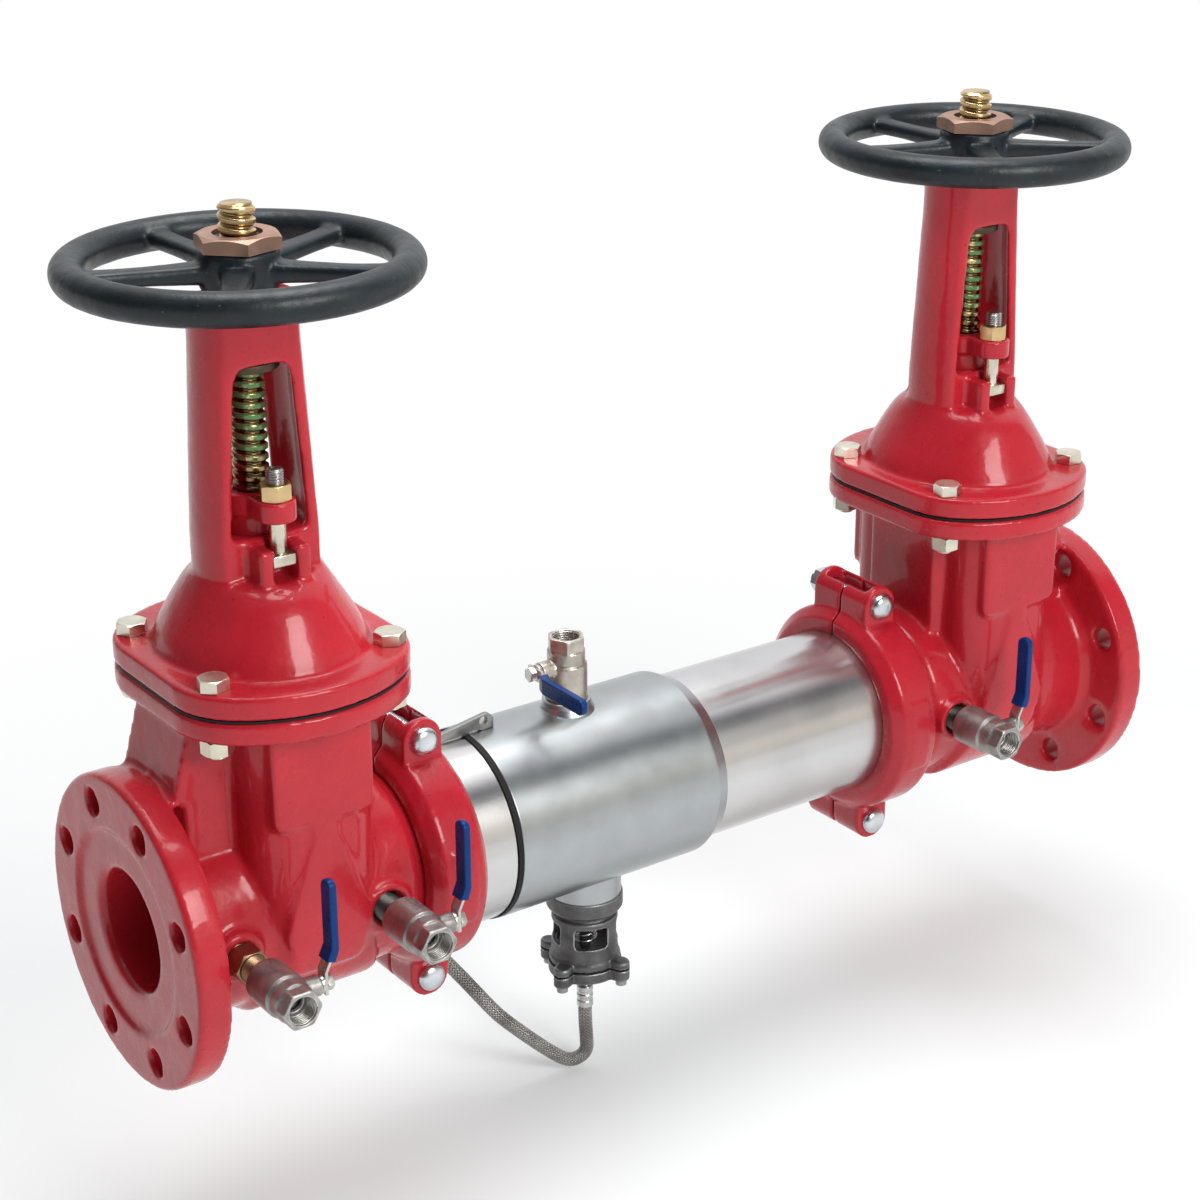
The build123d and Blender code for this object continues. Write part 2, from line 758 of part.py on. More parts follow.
def coupling_half(side):
    """One coupling housing half: arched channel with two keys and a hollow bolt ear at each end."""
    half = coupling_width / 2
    key_near = joint_gap / 2 + groove_from_end + touch_gap
    key_far = key_near + groove_width - 2 * touch_gap
    key_r = barrel_half - groove_depth + touch_gap
    lip_r = barrel_half + touch_gap
    ring = turned_x(
        (-half, lip_r),
        (-half, coupling_edge_r, 3),
        (-half + 8, coupling_r, 5),
        (half - 8, coupling_r, 5),
        (half, coupling_edge_r, 3),
        (half, lip_r),
        (key_far, lip_r),
        (key_far, key_r),
        (key_near, key_r),
        (key_near, lip_r),
        (coupling_cavity_half, lip_r),
        (coupling_cavity_half, coupling_cavity_r, 3),
        (-coupling_cavity_half, coupling_cavity_r, 3),
        (-coupling_cavity_half, lip_r),
        (-key_near, lip_r),
        (-key_near, key_r),
        (-key_far, key_r),
        (-key_far, lip_r),
    )
    for end in (-1, 1):
        plan = Pos(0, ear_bolt_z) * Circle(ear_r)
        plan += block_face(-ear_r, ear_r, coupling_cavity_r - 8, ear_bolt_z)
        ear = extrude(Plane.XZ * plan, ear_length)
        slot = ear_r - ear_wall
        ear -= block(-slot, slot, -ear_length + ear_wall, 1, coupling_r - 1, ear_bolt_z + ear_r)
        ear -= bar(ear_bolt_d / 2 + touch_gap, (0, -ear_length - 1, ear_bolt_z), (0, 1, ear_bolt_z))
        ear -= bar(coupling_cavity_r, (-ear_r - 1, 0, 0), (ear_r + 1, 0, 0))
        ring += ear if end > 0 else mirror(ear, about=Plane.XY)
    reach = 2 * coupling_r
    if side < 0:
        wide = coupling_panel_half_x
        panel = pipe_band(coupling_r + coupling_panel_rise, coupling_r - 3, -wide, wide)
        ring += panel & block(-half, half, -reach, 0, -coupling_panel_half_z, coupling_panel_half_z)
    ring = ring & block(-half, half, -reach, -parting_gap / 2, -reach, reach)
    return ring if side < 0 else mirror(ring, about=Plane.XZ)


def coupling_gasket():
    """Rubber ring that seals the two pipe ends inside a coupling."""
    wide = coupling_cavity_half - touch_gap
    deep = coupling_cavity_r - touch_gap
    lip = barrel_half + touch_gap
    return turned_x(
        (-wide, lip),
        (-wide, deep, 2.5),
        (wide, deep, 2.5),
        (wide, lip),
        (wide - 6, lip),
        (wide - 7, lip + 5),
        (7 - wide, lip + 5),
        (6 - wide, lip),
    )


def coupling_bolts():
    """Round-headed track bolts through the ears of both couplings."""
    solids = []
    for x in (coupling_inlet_x, coupling_outlet_x):
        for end in (-1, 1):
            z = end * ear_bolt_z
            shank = bar(ear_bolt_d / 2, (x, -ear_length, z), (x, ear_length + 16, z))
            dome = Pos(x, 0, z) * Rot(90, 0, 0) * turned_z(
                (0, ear_length),
                (ear_head_r, ear_length),
                (ear_head_r, ear_length + 2.5, 1),
                (ear_head_r * 0.45, ear_length + ear_head_height, 4),
                (0, ear_length + ear_head_height),
            )
            solids.append(shank + dome)
    return solids


def coupling_nuts():
    """Nuts at the back of the track bolts of both couplings."""
    solids = []
    for x in (coupling_inlet_x, coupling_outlet_x):
        for end in (-1, 1):
            nut = hex_nut(0, 0, 0, joint_nut_height, hex_12_flats, ear_bolt_d)
            solids.append(Pos(x, ear_length, end * ear_bolt_z) * Rot(-90, 0, 0) * nut)
    return solids


def housing_tube():
    """Grooved stainless tube with its access opening, relief port and hose port."""
    start = coupling_inlet_x + joint_gap / 2
    end = coupling_outlet_x - joint_gap / 2
    inner_r = barrel_half - tube_wall
    pipe = pipe_band(barrel_half, inner_r, start, end)
    for at, inward in ((start, 1), (end, -1)):
        near = at + inward * (groove_from_end - tube_wall)
        far = near + inward * (groove_width + 2 * tube_wall)
        pipe += pipe_band(inner_r + 1, inner_r - groove_depth, min(near, far), max(near, far))
        pipe -= spigot_groove(at, inward)
    reach = tube_od
    wedge_half = reach * tan(radians(access_half_angle))
    opening = Polygon((0, 0), (wedge_half, reach), (-wedge_half, reach), align=None)
    plane = Plane(origin=(access_start, 0, 0), x_dir=(0, 1, 0), z_dir=(1, 0, 0))
    pipe -= plane * extrude(opening, access_end - access_start)
    pipe -= bar(relief_stub_r - 3, (relief_x, 0, 0), (relief_x, 0, -tube_od))
    near = coupling_inlet_x + coupling_width / 2 + band_gap
    pipe += turned_x(
        (near, barrel_half - 1),
        (near, band_r, 1),
        (sleeve_start - seal_width, band_r, 1),
        (sleeve_start - seal_width, barrel_half - 1),
    )
    pipe -= bar(hose_port_r, (hose_port_x, 0, 0), hose_point(tube_od))
    return pipe


def hose_point(reach):
    """Point on the housing's hose port axis, at a distance from the pipe line."""
    angle = radians(hose_port_angle)
    return (hose_port_x, reach * sin(angle), -reach * cos(angle))


def sleeve():
    """Sliding access sleeve with the relief stub and the top cock's boss welded on."""
    outer_r = sleeve_od / 2
    inner_r = outer_r - sleeve_wall
    bore = barrel_half + touch_gap
    shell = turned_x(
        (sleeve_start, bore),
        (sleeve_start, outer_r, 1),
        (sleeve_end, outer_r, 4),
        (sleeve_end + sleeve_cone, bore + 1),
        (sleeve_end + sleeve_cone, bore),
        (sleeve_end - sleeve_lip, bore),
        (sleeve_end - sleeve_lip, inner_r),
        (sleeve_start + sleeve_lip, inner_r),
        (sleeve_start + sleeve_lip, bore),
    )
    stub_inner = relief_stub_r - 3
    shell += bar(relief_stub_r, (relief_x, 0, -inner_r + 2), (relief_x, 0, relief_stub_z))
    weld = Pos(cock_3_x, 0, 0) * turned_z(
        (0, inner_r),
        (weld_boss_r + 3, inner_r),
        (weld_boss_r + 3, outer_r - 2),
        (weld_boss_r, outer_r + 2.5, 1),
        (weld_boss_r, cock_3_foot_z + 1.5, 1),
        (cock_socket_r + touch_gap, cock_3_foot_z + 1.5),
        (cock_socket_r + touch_gap, cock_3_foot_z - touch_gap),
        (0, cock_3_foot_z - touch_gap),
    )
    shell += weld
    shell -= bar(inner_r, (sleeve_start + sleeve_lip, 0, 0), (sleeve_end - sleeve_lip, 0, 0))
    shell -= bar(stub_inner, (relief_x, 0, 0), (relief_x, 0, relief_stub_z - 1))
    shell -= bar(cock_thread_r, (cock_3_x, 0, 0), (cock_3_x, 0, cock_3_foot_z + 9))
    return shell


def sleeve_seal():
    """Rubber ring round the tube at the sleeve's inlet end."""
    return pipe_band(seal_od / 2, barrel_half + touch_gap, sleeve_start - seal_width, sleeve_start)


def lock_bar():
    """Flat bar that keeps the sleeve in place, with a foot on the tube and a hole at its raised end."""
    start = coupling_inlet_x + coupling_width / 2 + 1.5
    seal_clear = seal_od / 2 + touch_gap
    sleeve_clear = sleeve_od / 2 + touch_gap
    tip = sleeve_start + lock_bar_reach
    side = outline(
        (start, band_r),
        (start + lock_bar_foot, band_r),
        (start + lock_bar_foot + 3, seal_clear, 1),
        (sleeve_start - 1, seal_clear, 1),
        (sleeve_start + 1, sleeve_clear + 1.2, 1),
        (sleeve_start + 9, sleeve_clear + 1.2, 1),
        (sleeve_start + 11, sleeve_clear),
        (tip, sleeve_clear),
        (tip, sleeve_clear + lock_bar_tip_height, 6),
        (start, band_r + lock_bar_foot_height),
    )
    plate = extrude(Plane.XZ * side, lock_bar_thickness / 2, both=True)
    x = tip - 8.5
    z = sleeve_clear + 7
    plate -= bar(lock_bar_hole_d / 2, (x, -9, z), (x, 9, z))
    return plate


def check_seat(x):
    """Seat ring of a check module, with two lugs for the clapper's pin."""
    outer = barrel_half - tube_wall - touch_gap
    seat = pipe_band(outer, check_bore_r, x, x + check_seat_thickness)
    face = x + check_seat_thickness
    pin_x = face + hinge_offset
    for side in (-1, 1):
        near = min(side * hinge_lug_y, side * (hinge_lug_y + hinge_lug_thickness))
        far = near + hinge_lug_thickness
        seat += block(face - 1, pin_x, near, far, hinge_z - hinge_lug_r, hinge_z + hinge_lug_r)
        seat += bar(hinge_lug_r, (pin_x, near, hinge_z), (pin_x, far, hinge_z))
    seat -= bar(hinge_pin_d / 2 + running_gap, (pin_x, -outer, hinge_z), (pin_x, outer, hinge_z))
    return seat


def check_clapper(x):
    """Clapper of a check module: faced disc, arm and hinge pin in one piece."""
    face = x + check_seat_thickness + touch_gap
    pin_x = x + check_seat_thickness + hinge_offset
    disc = turned_x(
        (face, 0),
        (face, clapper_r - 2),
        (face + 3, clapper_r, 1),
        (face + clapper_thickness - 3, clapper_r, 1),
        (face + clapper_thickness - 1, clapper_r - 6),
        (face + clapper_thickness + 2, 14),
        (face + clapper_thickness + 2, 0),
    )
    room = hinge_lug_y + hinge_lug_thickness + 1
    disc -= block(face - 1, face + 30, -room, room, hinge_z - hinge_lug_r - 2, hinge_z + clapper_r)
    arm = block(face + 3, pin_x + 2, -arm_half_y, arm_half_y, 0, hinge_z)
    arm += bar(hinge_lug_r, (pin_x, -arm_half_y, hinge_z), (pin_x, arm_half_y, hinge_z))
    reach = hinge_lug_y + hinge_lug_thickness + 3
    arm += bar(hinge_pin_d / 2, (pin_x, -reach, hinge_z), (pin_x, reach, hinge_z))
    return disc + arm


def check_spring(x):
    """Closing spring of a check module: two coils on the pin, each with a leg down the clapper."""
    pin_x = x + check_seat_thickness + hinge_offset
    solids = []
    radius = hinge_pin_d / 2 + check_spring_wire_d / 2 + touch_gap
    length = hinge_lug_y - arm_half_y - check_spring_wire_d - 2 * touch_gap
    path = Helix(pitch=length / check_spring_turns, height=length, radius=radius)
    section = Plane(origin=path @ 0, z_dir=path % 0) * Circle(check_spring_wire_d / 2)
    coil = sweep(section, path)
    start = arm_half_y + check_spring_wire_d / 2 + touch_gap
    for side in (-1, 1):
        placed = Pos(pin_x, start, hinge_z) * Rot(-90, 0, 0) * coil
        leg_x = pin_x + radius
        leg = bar(check_spring_wire_d / 2, (leg_x, start, hinge_z), (leg_x, start, hinge_z - 24))
        solid = placed + leg
        solids.append(solid if side > 0 else mirror(solid, about=Plane.XZ))
    return solids


def relief_place(shape):
    """Places a shape drawn about the Z axis at the relief valve, turned as it was screwed in."""
    return Pos(relief_x, 0, 0) * Rot(0, 0, relief_turn) * shape


def relief_collar():
    """Screwed collar under the stub that holds the relief seat and the cage."""
    inner_r = relief_stub_r - 3
    ring = turned_z(
        (0, relief_stub_z),
        (relief_collar_r, relief_stub_z, 1),
        (relief_collar_r, relief_collar_z + 4, 1),
        (relief_collar_r - 4, relief_collar_z),
        (cage_neck_r, relief_collar_z),
        (cage_neck_r, relief_collar_z + 3),
        (relief_seat_bore_r + 2, relief_collar_z + 3),
        (relief_seat_bore_r + 2, relief_collar_z),
        (relief_seat_bore_r, relief_collar_z),
        (relief_seat_bore_r, relief_stub_z - 4),
        (0, relief_stub_z - 4),
    )
    ring -= bar(relief_seat_bore_r, (0, 0, 0), (0, 0, relief_collar_z - 5))
    ring -= bar(inner_r - 4, (0, 0, relief_stub_z + 1), (0, 0, relief_stub_z - 4))
    return relief_place(ring)


def lobed_plan(radius, drilled=True):
    """Round plan with four screw lobes, shared by cage foot, diaphragm and cover."""
    plan = Circle(radius)
    lobes = PolarLocations(lobe_pcd_r, cage_windows, start_angle=-90 + 180 / cage_windows)
    reach = Rectangle(2 * lobe_r, 2 * lobe_r)
    for spot in lobes:
        plan += spot * Circle(lobe_r)
        plan += spot * Pos(-lobe_r, 0) * reach
    if drilled:
        plan -= lobes * Circle(relief_screw_d / 2 + touch_gap)
    return plan


def relief_cage():
    """Vented cage of the relief valve, with four windows and a lobed foot."""
    cage = turned_z(
        (cage_r - cage_wall, cage_foot_z),
        (cage_r + 2, cage_foot_z),
        (cage_r, cage_foot_z + cage_flange_thickness + 6, 6),
        (cage_r, cage_top_z, 1.5),
        (cage_neck_r - touch_gap, cage_top_z),
        (cage_neck_r - touch_gap, relief_collar_z + 2.5),
        (cage_neck_r - 4, relief_collar_z + 2.5),
        (cage_neck_r - 4, cage_top_z, 1),
        (cage_r - cage_wall, cage_top_z - 3),
    )
    height = cage_window_top_z - cage_window_foot_z
    middle = (cage_window_top_z + cage_window_foot_z) / 2
    width = 2 * cage_r * sin(radians(cage_window_angle / 2))
    for turn in range(cage_windows):
        face = Plane.XZ * RectangleRounded(width * 0.86, height, 3)
        cut = Pos(0, 0, middle) * extrude(face, 2 * cage_r)
        cage -= Rot(0, 0, turn * 360 / cage_windows) * cut
    foot = Pos(0, 0, cage_foot_z) * extrude(lobed_plan(cage_r + 2, drilled=False), cage_flange_thickness)
    foot = chamfer(foot.faces().sort_by(Axis.Z)[-1].outer_wire().edges(), lobe_edge)
    foot -= bar(cage_r - cage_wall, (0, 0, cage_foot_z - 1), (0, 0, cage_foot_z + cage_flange_thickness + 1))
    for spot in PolarLocations(lobe_pcd_r, cage_windows, start_angle=-90 + 180 / cage_windows):
        hole_end = (0, 0, cage_foot_z + relief_screw_bite + 0.5)
        hole = bar(relief_screw_d / 2 + touch_gap, (0, 0, cage_foot_z - 1), hole_end)
        foot -= spot * hole
    guide = [(0, 0, cage_guide_z), (0, 0, cage_guide_z + cage_guide_height)]
    floor = tube(cage_r - cage_wall + 1, plunger_stem_r + running_gap, *guide)
    return relief_place(cage + foot + floor)


def relief_diaphragm():
    """Rubber diaphragm clamped between cage and cover."""
    top = cage_foot_z
    sheet = Pos(0, 0, top - diaphragm_thickness) * extrude(lobed_plan(cover_r), diaphragm_thickness)
    return relief_place(sheet)


def relief_cover():
    """Lobed bottom cover with the sensing chamber and the hose port."""
    top = cage_foot_z - diaphragm_thickness
    cover = Pos(0, 0, cover_foot_z) * extrude(lobed_plan(cover_r), top - cover_foot_z)
    cover = chamfer(cover.faces().sort_by(Axis.Z)[0].outer_wire().edges(), lobe_edge)
    cover -= bar(cage_r - cage_wall, (0, 0, cover_foot_z + 4), (0, 0, top + 1))
    cover -= bar(hose_tail_r, (0, 0, cover_foot_z - 1), (0, 0, cover_foot_z + 5))
    return relief_place(cover)


def relief_screws():
    """Four cap screws from below that hold cover, diaphragm and cage together."""
    solids = []
    head_z = cover_foot_z - relief_screw_head
    for spot in PolarLocations(lobe_pcd_r, cage_windows, start_angle=-90 + 180 / cage_windows):
        screw = bar(relief_screw_d / 2, (0, 0, cover_foot_z), (0, 0, cage_foot_z + relief_screw_bite))
        screw += bar(relief_screw_head_r, (0, 0, head_z), (0, 0, cover_foot_z))
        screw -= hex_bar(relief_screw_hex, (0, 0, head_z - 1), (0, 0, head_z + relief_screw_head / 2))
        solids.append(relief_place(spot * screw))
    return solids


def relief_plunger():
    """Relief valve disc and its guided stem down to the diaphragm."""
    seat = relief_collar_z - touch_gap
    foot = cage_foot_z + touch_gap + plunger_travel
    plunger = turned_z(
        (0, seat),
        (plunger_disc_r, seat),
        (plunger_disc_r, seat - 4),
        (plunger_stem_r + 2, seat - 6),
        (plunger_stem_r, seat - 8),
        (plunger_stem_r, foot),
        (0, foot),
    )
    return relief_place(plunger)


def relief_spring():
    """Compression spring round the plunger's stem, drawn as it sits with the valve shut."""
    top = relief_collar_z - touch_gap - 6 - spring_wire_d / 2 - touch_gap
    foot = cage_guide_z + cage_guide_height + spring_wire_d / 2 + touch_gap
    height = top - foot
    path = Helix(pitch=height / spring_turns, height=height, radius=spring_coil_r)
    section = Plane(origin=path @ 0, z_dir=path % 0) * Circle(spring_wire_d / 2)
    return Pos(relief_x, 0, foot) * sweep(section, path)


def cock_frame(name):
    """Plane of a test cock: its own Z runs out of the port, its X along the lever's stem."""
    if name == "cock_3":
        return Plane(origin=(cock_3_x, 0, cock_3_foot_z), x_dir=(-1, 0, 0), z_dir=(0, 0, 1))
    stations = {
        "cock_1": (stem_from_face + cock_1_offset, cock_1_reach),
        "cock_2": (stem_from_face + cock_2_offset, cock_2_reach),
        "cock_4": (outlet_stem_x + cock_4_offset, cock_4_reach),
    }
    x, reach = stations[name]
    return Plane(origin=(x, -cock_boss_y - reach, cock_port_z), x_dir=(1, 0, 0), z_dir=(0, -1, 0))


def cock_body(name):
    """Ball valve body: stepped barrel, hexagon mouth, stem boss, bores and ball chamber."""
    shoulder = cock_stem_height + 2
    body = turned_z(
        (0, 0),
        (cock_socket_r - 2, 0),
        (cock_socket_r, 2),
        (cock_socket_r, shoulder, 0.8),
        (cock_body_r, shoulder + 1, 0.5),
        (cock_body_r, cock_length - cock_hex_length + 1),
        (cock_hex_flats / 2 - 1, cock_length - cock_hex_length + 3),
        (cock_hex_flats / 2 - 1, cock_length),
        (0, cock_length),
    )
    mouth = hex_bar(cock_hex_flats, (0, 0, cock_length - cock_hex_length), (0, 0, cock_length))
    mouth = mouth & turned_z(
        (0, cock_length - cock_hex_length),
        (cock_hex_flats * 0.53, cock_length - cock_hex_length),
        (cock_hex_flats * 0.57, cock_length - cock_hex_length + 2),
        (cock_hex_flats * 0.57, cock_length - 1.5),
        (cock_hex_flats * 0.53, cock_length),
        (0, cock_length),
    )
    body += mouth
    body += bar(cock_stem_boss_r, (0, 0, cock_stem_height), (cock_stem_reach, 0, cock_stem_height))
    body -= bar(cock_thread_r, (0, 0, cock_length - cock_thread_depth), (0, 0, cock_length + 1))
    body -= bar(cock_bore_r, (0, 0, 0), (0, 0, cock_length))
    body -= Pos(0, 0, cock_stem_height) * Sphere(cock_ball_r + 0.4)
    stem_end = (cock_stem_reach + 1, 0, cock_stem_height)
    body -= bar(cock_stem_r + running_gap, (0, 0, cock_stem_height), stem_end)
    if name == "cock_3":
        spigot = bar(cock_thread_r - touch_gap, (0, 0, -9), (0, 0, 0))
        body += spigot - bar(cock_bore_r, (0, 0, -10), (0, 0, 1))
    else:
        body -= bar(cock_thread_r, (0, 0, -1), (0, 0, cock_thread_depth))
    return cock_frame(name) * body


def cock_lever(name):
    """Turning parts of a test cock: ball, stem, nut and the cranked lever."""
    z = cock_stem_height
    ball = Pos(0, 0, z) * Sphere(cock_ball_r)
    ball -= bar(cock_bore_r - 1, (0, -20, z), (0, 20, z))
    tip = cock_stem_reach + 9
    moving = ball + bar(cock_stem_r, (cock_ball_r - 2, 0, z), (tip, 0, z))
    moving += bar(cock_stem_boss_r - 1, (cock_stem_reach + touch_gap, 0, z), (cock_stem_reach + 2.5, 0, z))
    inner = cock_stem_reach + 2.5
    outer = inner + lever_thickness
    strip = outline(
        (inner, -7),
        (outer, -7),
        (outer, 9, 2),
        (outer + lever_jog, lever_bend, 2),
        (outer + lever_jog, lever_length - 4),
        (inner + lever_jog, lever_length - 4),
        (inner + lever_jog, lever_bend, 2),
        (inner, 9, 2),
    )
    moving += Pos(0, 0, z) * extrude(strip, lever_width / 2, both=True)
    nut = hex_bar(lever_nut_flats, (outer, 0, z), (outer + lever_nut_height, 0, z))
    return cock_frame(name) * (moving + nut)


def cock_grip(name):
    """Dipped plastic grip on a test cock's lever."""
    z = cock_stem_height
    middle = cock_stem_reach + 2.5 + lever_thickness / 2
    half = grip_thickness / 2
    start = grip_start
    bend = lever_bend + 1
    side = outline(
        (middle + 3 - half, start),
        (middle + 3 + half + 1, start - 2),
        (middle + lever_jog + half, bend - 2, 3),
        (middle + lever_jog + half, lever_length, 2),
        (middle + lever_jog - half, lever_length, 2),
        (middle + lever_jog - half, bend + 1, 3),
    )
    grip = Pos(0, 0, z) * extrude(side, grip_width / 2, both=True)
    tip_round = Plane.YZ * RectangleRounded(2 * lever_length, grip_width, grip_width / 2 - 0.1)
    grip = grip & (Pos(0, 0, z) * extrude(tip_round, 99, both=True))
    placed = cock_frame(name) * grip
    return placed - cock_lever(name)


def cock_nipples():
    """Brass nipples between the body ports and test cocks 1, 2 and 4."""
    solids = []
    for name in ("cock_1", "cock_2", "cock_4"):
        frame = cock_frame(name)
        reach = {"cock_1": cock_1_reach, "cock_2": cock_2_reach, "cock_4": cock_4_reach}[name]
        foot = -reach - cock_thread_depth
        nipple = bar(cock_thread_r - touch_gap, (0, 0, foot), (0, 0, cock_thread_depth - 1))
        if reach > 20:
            nipple += hex_bar(nipple_flats, (0, 0, -reach), (0, 0, nipple_hex_length - reach))
        nipple -= bar(cock_bore_r + 1, (0, 0, foot - 1), (0, 0, cock_thread_depth))
        solids.append(frame * nipple)
    return solids


def hose_fittings():
    """Threaded tails and crimped ferrules at both ends of the sensing hose."""
    hex_top = cover_foot_z - 2
    shoulder_z = cover_foot_z - hose_tail_length
    cover_tail = bar(hose_tail_r - running_gap, (relief_x, 0, cover_foot_z + 3), (relief_x, 0, shoulder_z))
    cover_tail += hex_bar(hose_hex_flats, (relief_x, 0, hex_top), (relief_x, 0, hex_top - hose_hex_length))
    cover_tail += bar(hose_ferrule_r, (relief_x, 0, shoulder_z), (relief_x, 0, hose_start_z))
    foot = band_r + 1
    shoulder = hose_point(foot + hose_hex_length + 3)
    tube_tail = bar(hose_port_r - running_gap, hose_point(barrel_half - tube_wall + 1), shoulder)
    tube_tail += hex_bar(hose_hex_flats, hose_point(foot), hose_point(foot + hose_hex_length))
    tube_tail += bar(hose_ferrule_r, shoulder, hose_point(hose_port_reach))
    return [cover_tail, tube_tail]


def sensing_hose():
    """Braided hose between the two ferrules: straight runs joined by tangent arcs."""
    points = [Vector(*point) for point in hose_route] + [Vector(*hose_point(hose_port_reach))]
    radii = []
    for before, corner, after in zip(points, points[1:], points[2:]):
        first = corner - before
        second = after - corner
        turn = radians(first.get_angle(second))
        shorter = min(first.length, second.length)
        radii.append(0.45 * shorter / tan(turn / 2))
    path = FilletPolyline(*points, radius=radii)
    section = Plane(origin=path @ 0, z_dir=path % 0) * Circle(hose_d / 2)
    hose = sweep(section, path)
    print("hose length", round(path.length, 1))
    return hose


def build():
    """Every node of the device by name."""
    nodes = {}
    for word, outlet in (("inlet", False), ("outlet", True)):
        if outlet:
            sites = [(-cock_4_offset, 1, True)]
        else:
            sites = [(cock_1_offset, -1, False), (cock_2_offset, -1, True)]
        nodes[word + "_valve_body"] = valve_body(sites, outlet)
        nodes[word + "_bonnet"] = bonnet(outlet)
        nodes[word + "_gland"] = gland(outlet)
        nodes[word + "_stem"] = stem(outlet)
        nodes[word + "_wedge"] = wedge(outlet)
        nodes[word + "_stem_nut"] = stem_nut(outlet)
        nodes[word + "_handwheel"] = handwheel(outlet)
        nodes[word + "_wheel_nut"] = wheel_nut(outlet)
    nodes["bonnet_gaskets"] = [bonnet_gasket(outlet) for outlet in (False, True)]
    nodes["gland_packing"] = gland_packing(False) + gland_packing(True)
    nodes["bonnet_bolts"] = bonnet_bolts()
    nodes["gland_bolts"] = gland_bolts()
    nodes["gland_nuts"] = gland_nuts()
    for word, x in (("inlet", coupling_inlet_x), ("outlet", coupling_outlet_x)):
        nodes[word + "_coupling_front"] = Pos(x, 0, 0) * coupling_half(-1)
        nodes[word + "_coupling_rear"] = Pos(x, 0, 0) * coupling_half(1)
        nodes[word + "_coupling_gasket"] = Pos(x, 0, 0) * coupling_gasket()
    nodes["coupling_bolts"] = coupling_bolts() + coupling_nuts()
    nodes["housing_tube"] = housing_tube()
    nodes["access_sleeve"] = sleeve()
    nodes["sleeve_seal"] = sleeve_seal()
    nodes["lock_bar"] = lock_bar()
    for word, x in (("inlet", check_inlet_x), ("outlet", check_outlet_x)):
        nodes[word + "_check_seat"] = check_seat(x)
        nodes[word + "_check_clapper"] = check_clapper(x)
        nodes[word + "_check_spring"] = check_spring(x)
    nodes["relief_collar"] = relief_collar()
    nodes["relief_cage"] = relief_cage()
    nodes["relief_diaphragm"] = relief_diaphragm()
    nodes["relief_cover"] = relief_cover()
    nodes["relief_screws"] = relief_screws()
    nodes["relief_plunger"] = relief_plunger()
    nodes["relief_spring"] = relief_spring()
    for name in ("cock_1", "cock_2", "cock_3", "cock_4"):
        nodes[name + "_body"] = cock_body(name)
        nodes[name + "_lever"] = cock_lever(name)
        nodes[name + "_grip"] = cock_grip(name)
    nodes["cock_nipples"] = cock_nipples()
    nodes["hose_fittings"] = hose_fittings()
    nodes["sensing_hose"] = sensing_hose()
    return nodes


def solids_of(shape):
    """Plain solids of one shape or of a list of shapes."""
    found = []
    for item in shape if isinstance(shape, list) else [shape]:
        found.extend(item.solids())
    return found


os.makedirs("parts", exist_ok=True)
for name, shape in build().items():
    solids = solids_of(shape)
    export_step(solids[0] if len(solids) == 1 else Compound(children=solids), "parts/" + name + ".step")
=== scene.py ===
"""Looks of a reduced pressure backflow preventer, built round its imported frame: softened castings, turned
and threaded metal, the braided sensing hose, every finish and a plain studio. Lengths are in metres."""

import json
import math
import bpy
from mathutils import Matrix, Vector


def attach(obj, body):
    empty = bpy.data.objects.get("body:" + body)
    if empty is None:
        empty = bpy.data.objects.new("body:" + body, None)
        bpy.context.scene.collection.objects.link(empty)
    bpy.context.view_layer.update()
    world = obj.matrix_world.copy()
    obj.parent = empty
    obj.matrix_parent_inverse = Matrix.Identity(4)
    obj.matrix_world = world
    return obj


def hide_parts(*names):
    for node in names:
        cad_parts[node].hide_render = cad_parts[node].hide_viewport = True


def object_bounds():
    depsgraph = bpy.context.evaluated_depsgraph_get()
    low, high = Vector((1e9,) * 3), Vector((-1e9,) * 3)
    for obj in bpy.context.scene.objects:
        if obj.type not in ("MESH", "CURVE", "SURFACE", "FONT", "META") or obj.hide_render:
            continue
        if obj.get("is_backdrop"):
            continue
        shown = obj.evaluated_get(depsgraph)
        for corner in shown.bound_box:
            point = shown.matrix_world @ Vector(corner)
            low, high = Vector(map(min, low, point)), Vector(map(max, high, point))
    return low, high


bl_info = {
    "name": "Backflow Preventer Looks",
    "version": (1, 0, 0),
    "blender": (4, 5, 0),
    "location": "View3D > Sidebar > Backflow",
    "description": "Finishes, threads, braided hose and studio of a reduced pressure backflow preventer",
    "category": "Object",
}

import bmesh
import bpy
from bpy.props import FloatProperty, FloatVectorProperty, IntProperty, PointerProperty
from mathutils import Matrix, Vector

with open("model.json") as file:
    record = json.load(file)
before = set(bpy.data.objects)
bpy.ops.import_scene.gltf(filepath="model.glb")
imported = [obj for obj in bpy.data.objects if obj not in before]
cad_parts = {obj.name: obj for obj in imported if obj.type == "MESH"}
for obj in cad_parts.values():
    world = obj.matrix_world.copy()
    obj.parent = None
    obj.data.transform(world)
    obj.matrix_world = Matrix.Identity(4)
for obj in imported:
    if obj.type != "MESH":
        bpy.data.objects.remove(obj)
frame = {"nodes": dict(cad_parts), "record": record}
CAD_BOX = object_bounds()
NODES = frame["nodes"]
RECORD = frame["record"]
BODY_OF = {node: body for body, nodes in RECORD["behaviour"]["bodies"].items() for node in nodes}
SLOT_OF = {node: piece.material_slots[0].material.name.split(".")[0] for node, piece in NODES.items()}

# Where the photograph was taken from
CAMERA_PLACE = Vector((-0.6012, -1.3845, 0.8290))
CAMERA_YAW = math.radians(35.64)
CAMERA_PITCH = math.radians(21.83)
CAMERA_ROLL = math.radians(-0.18)
CAMERA_LENS = 75.58
CAMERA_SENSOR = 36.0

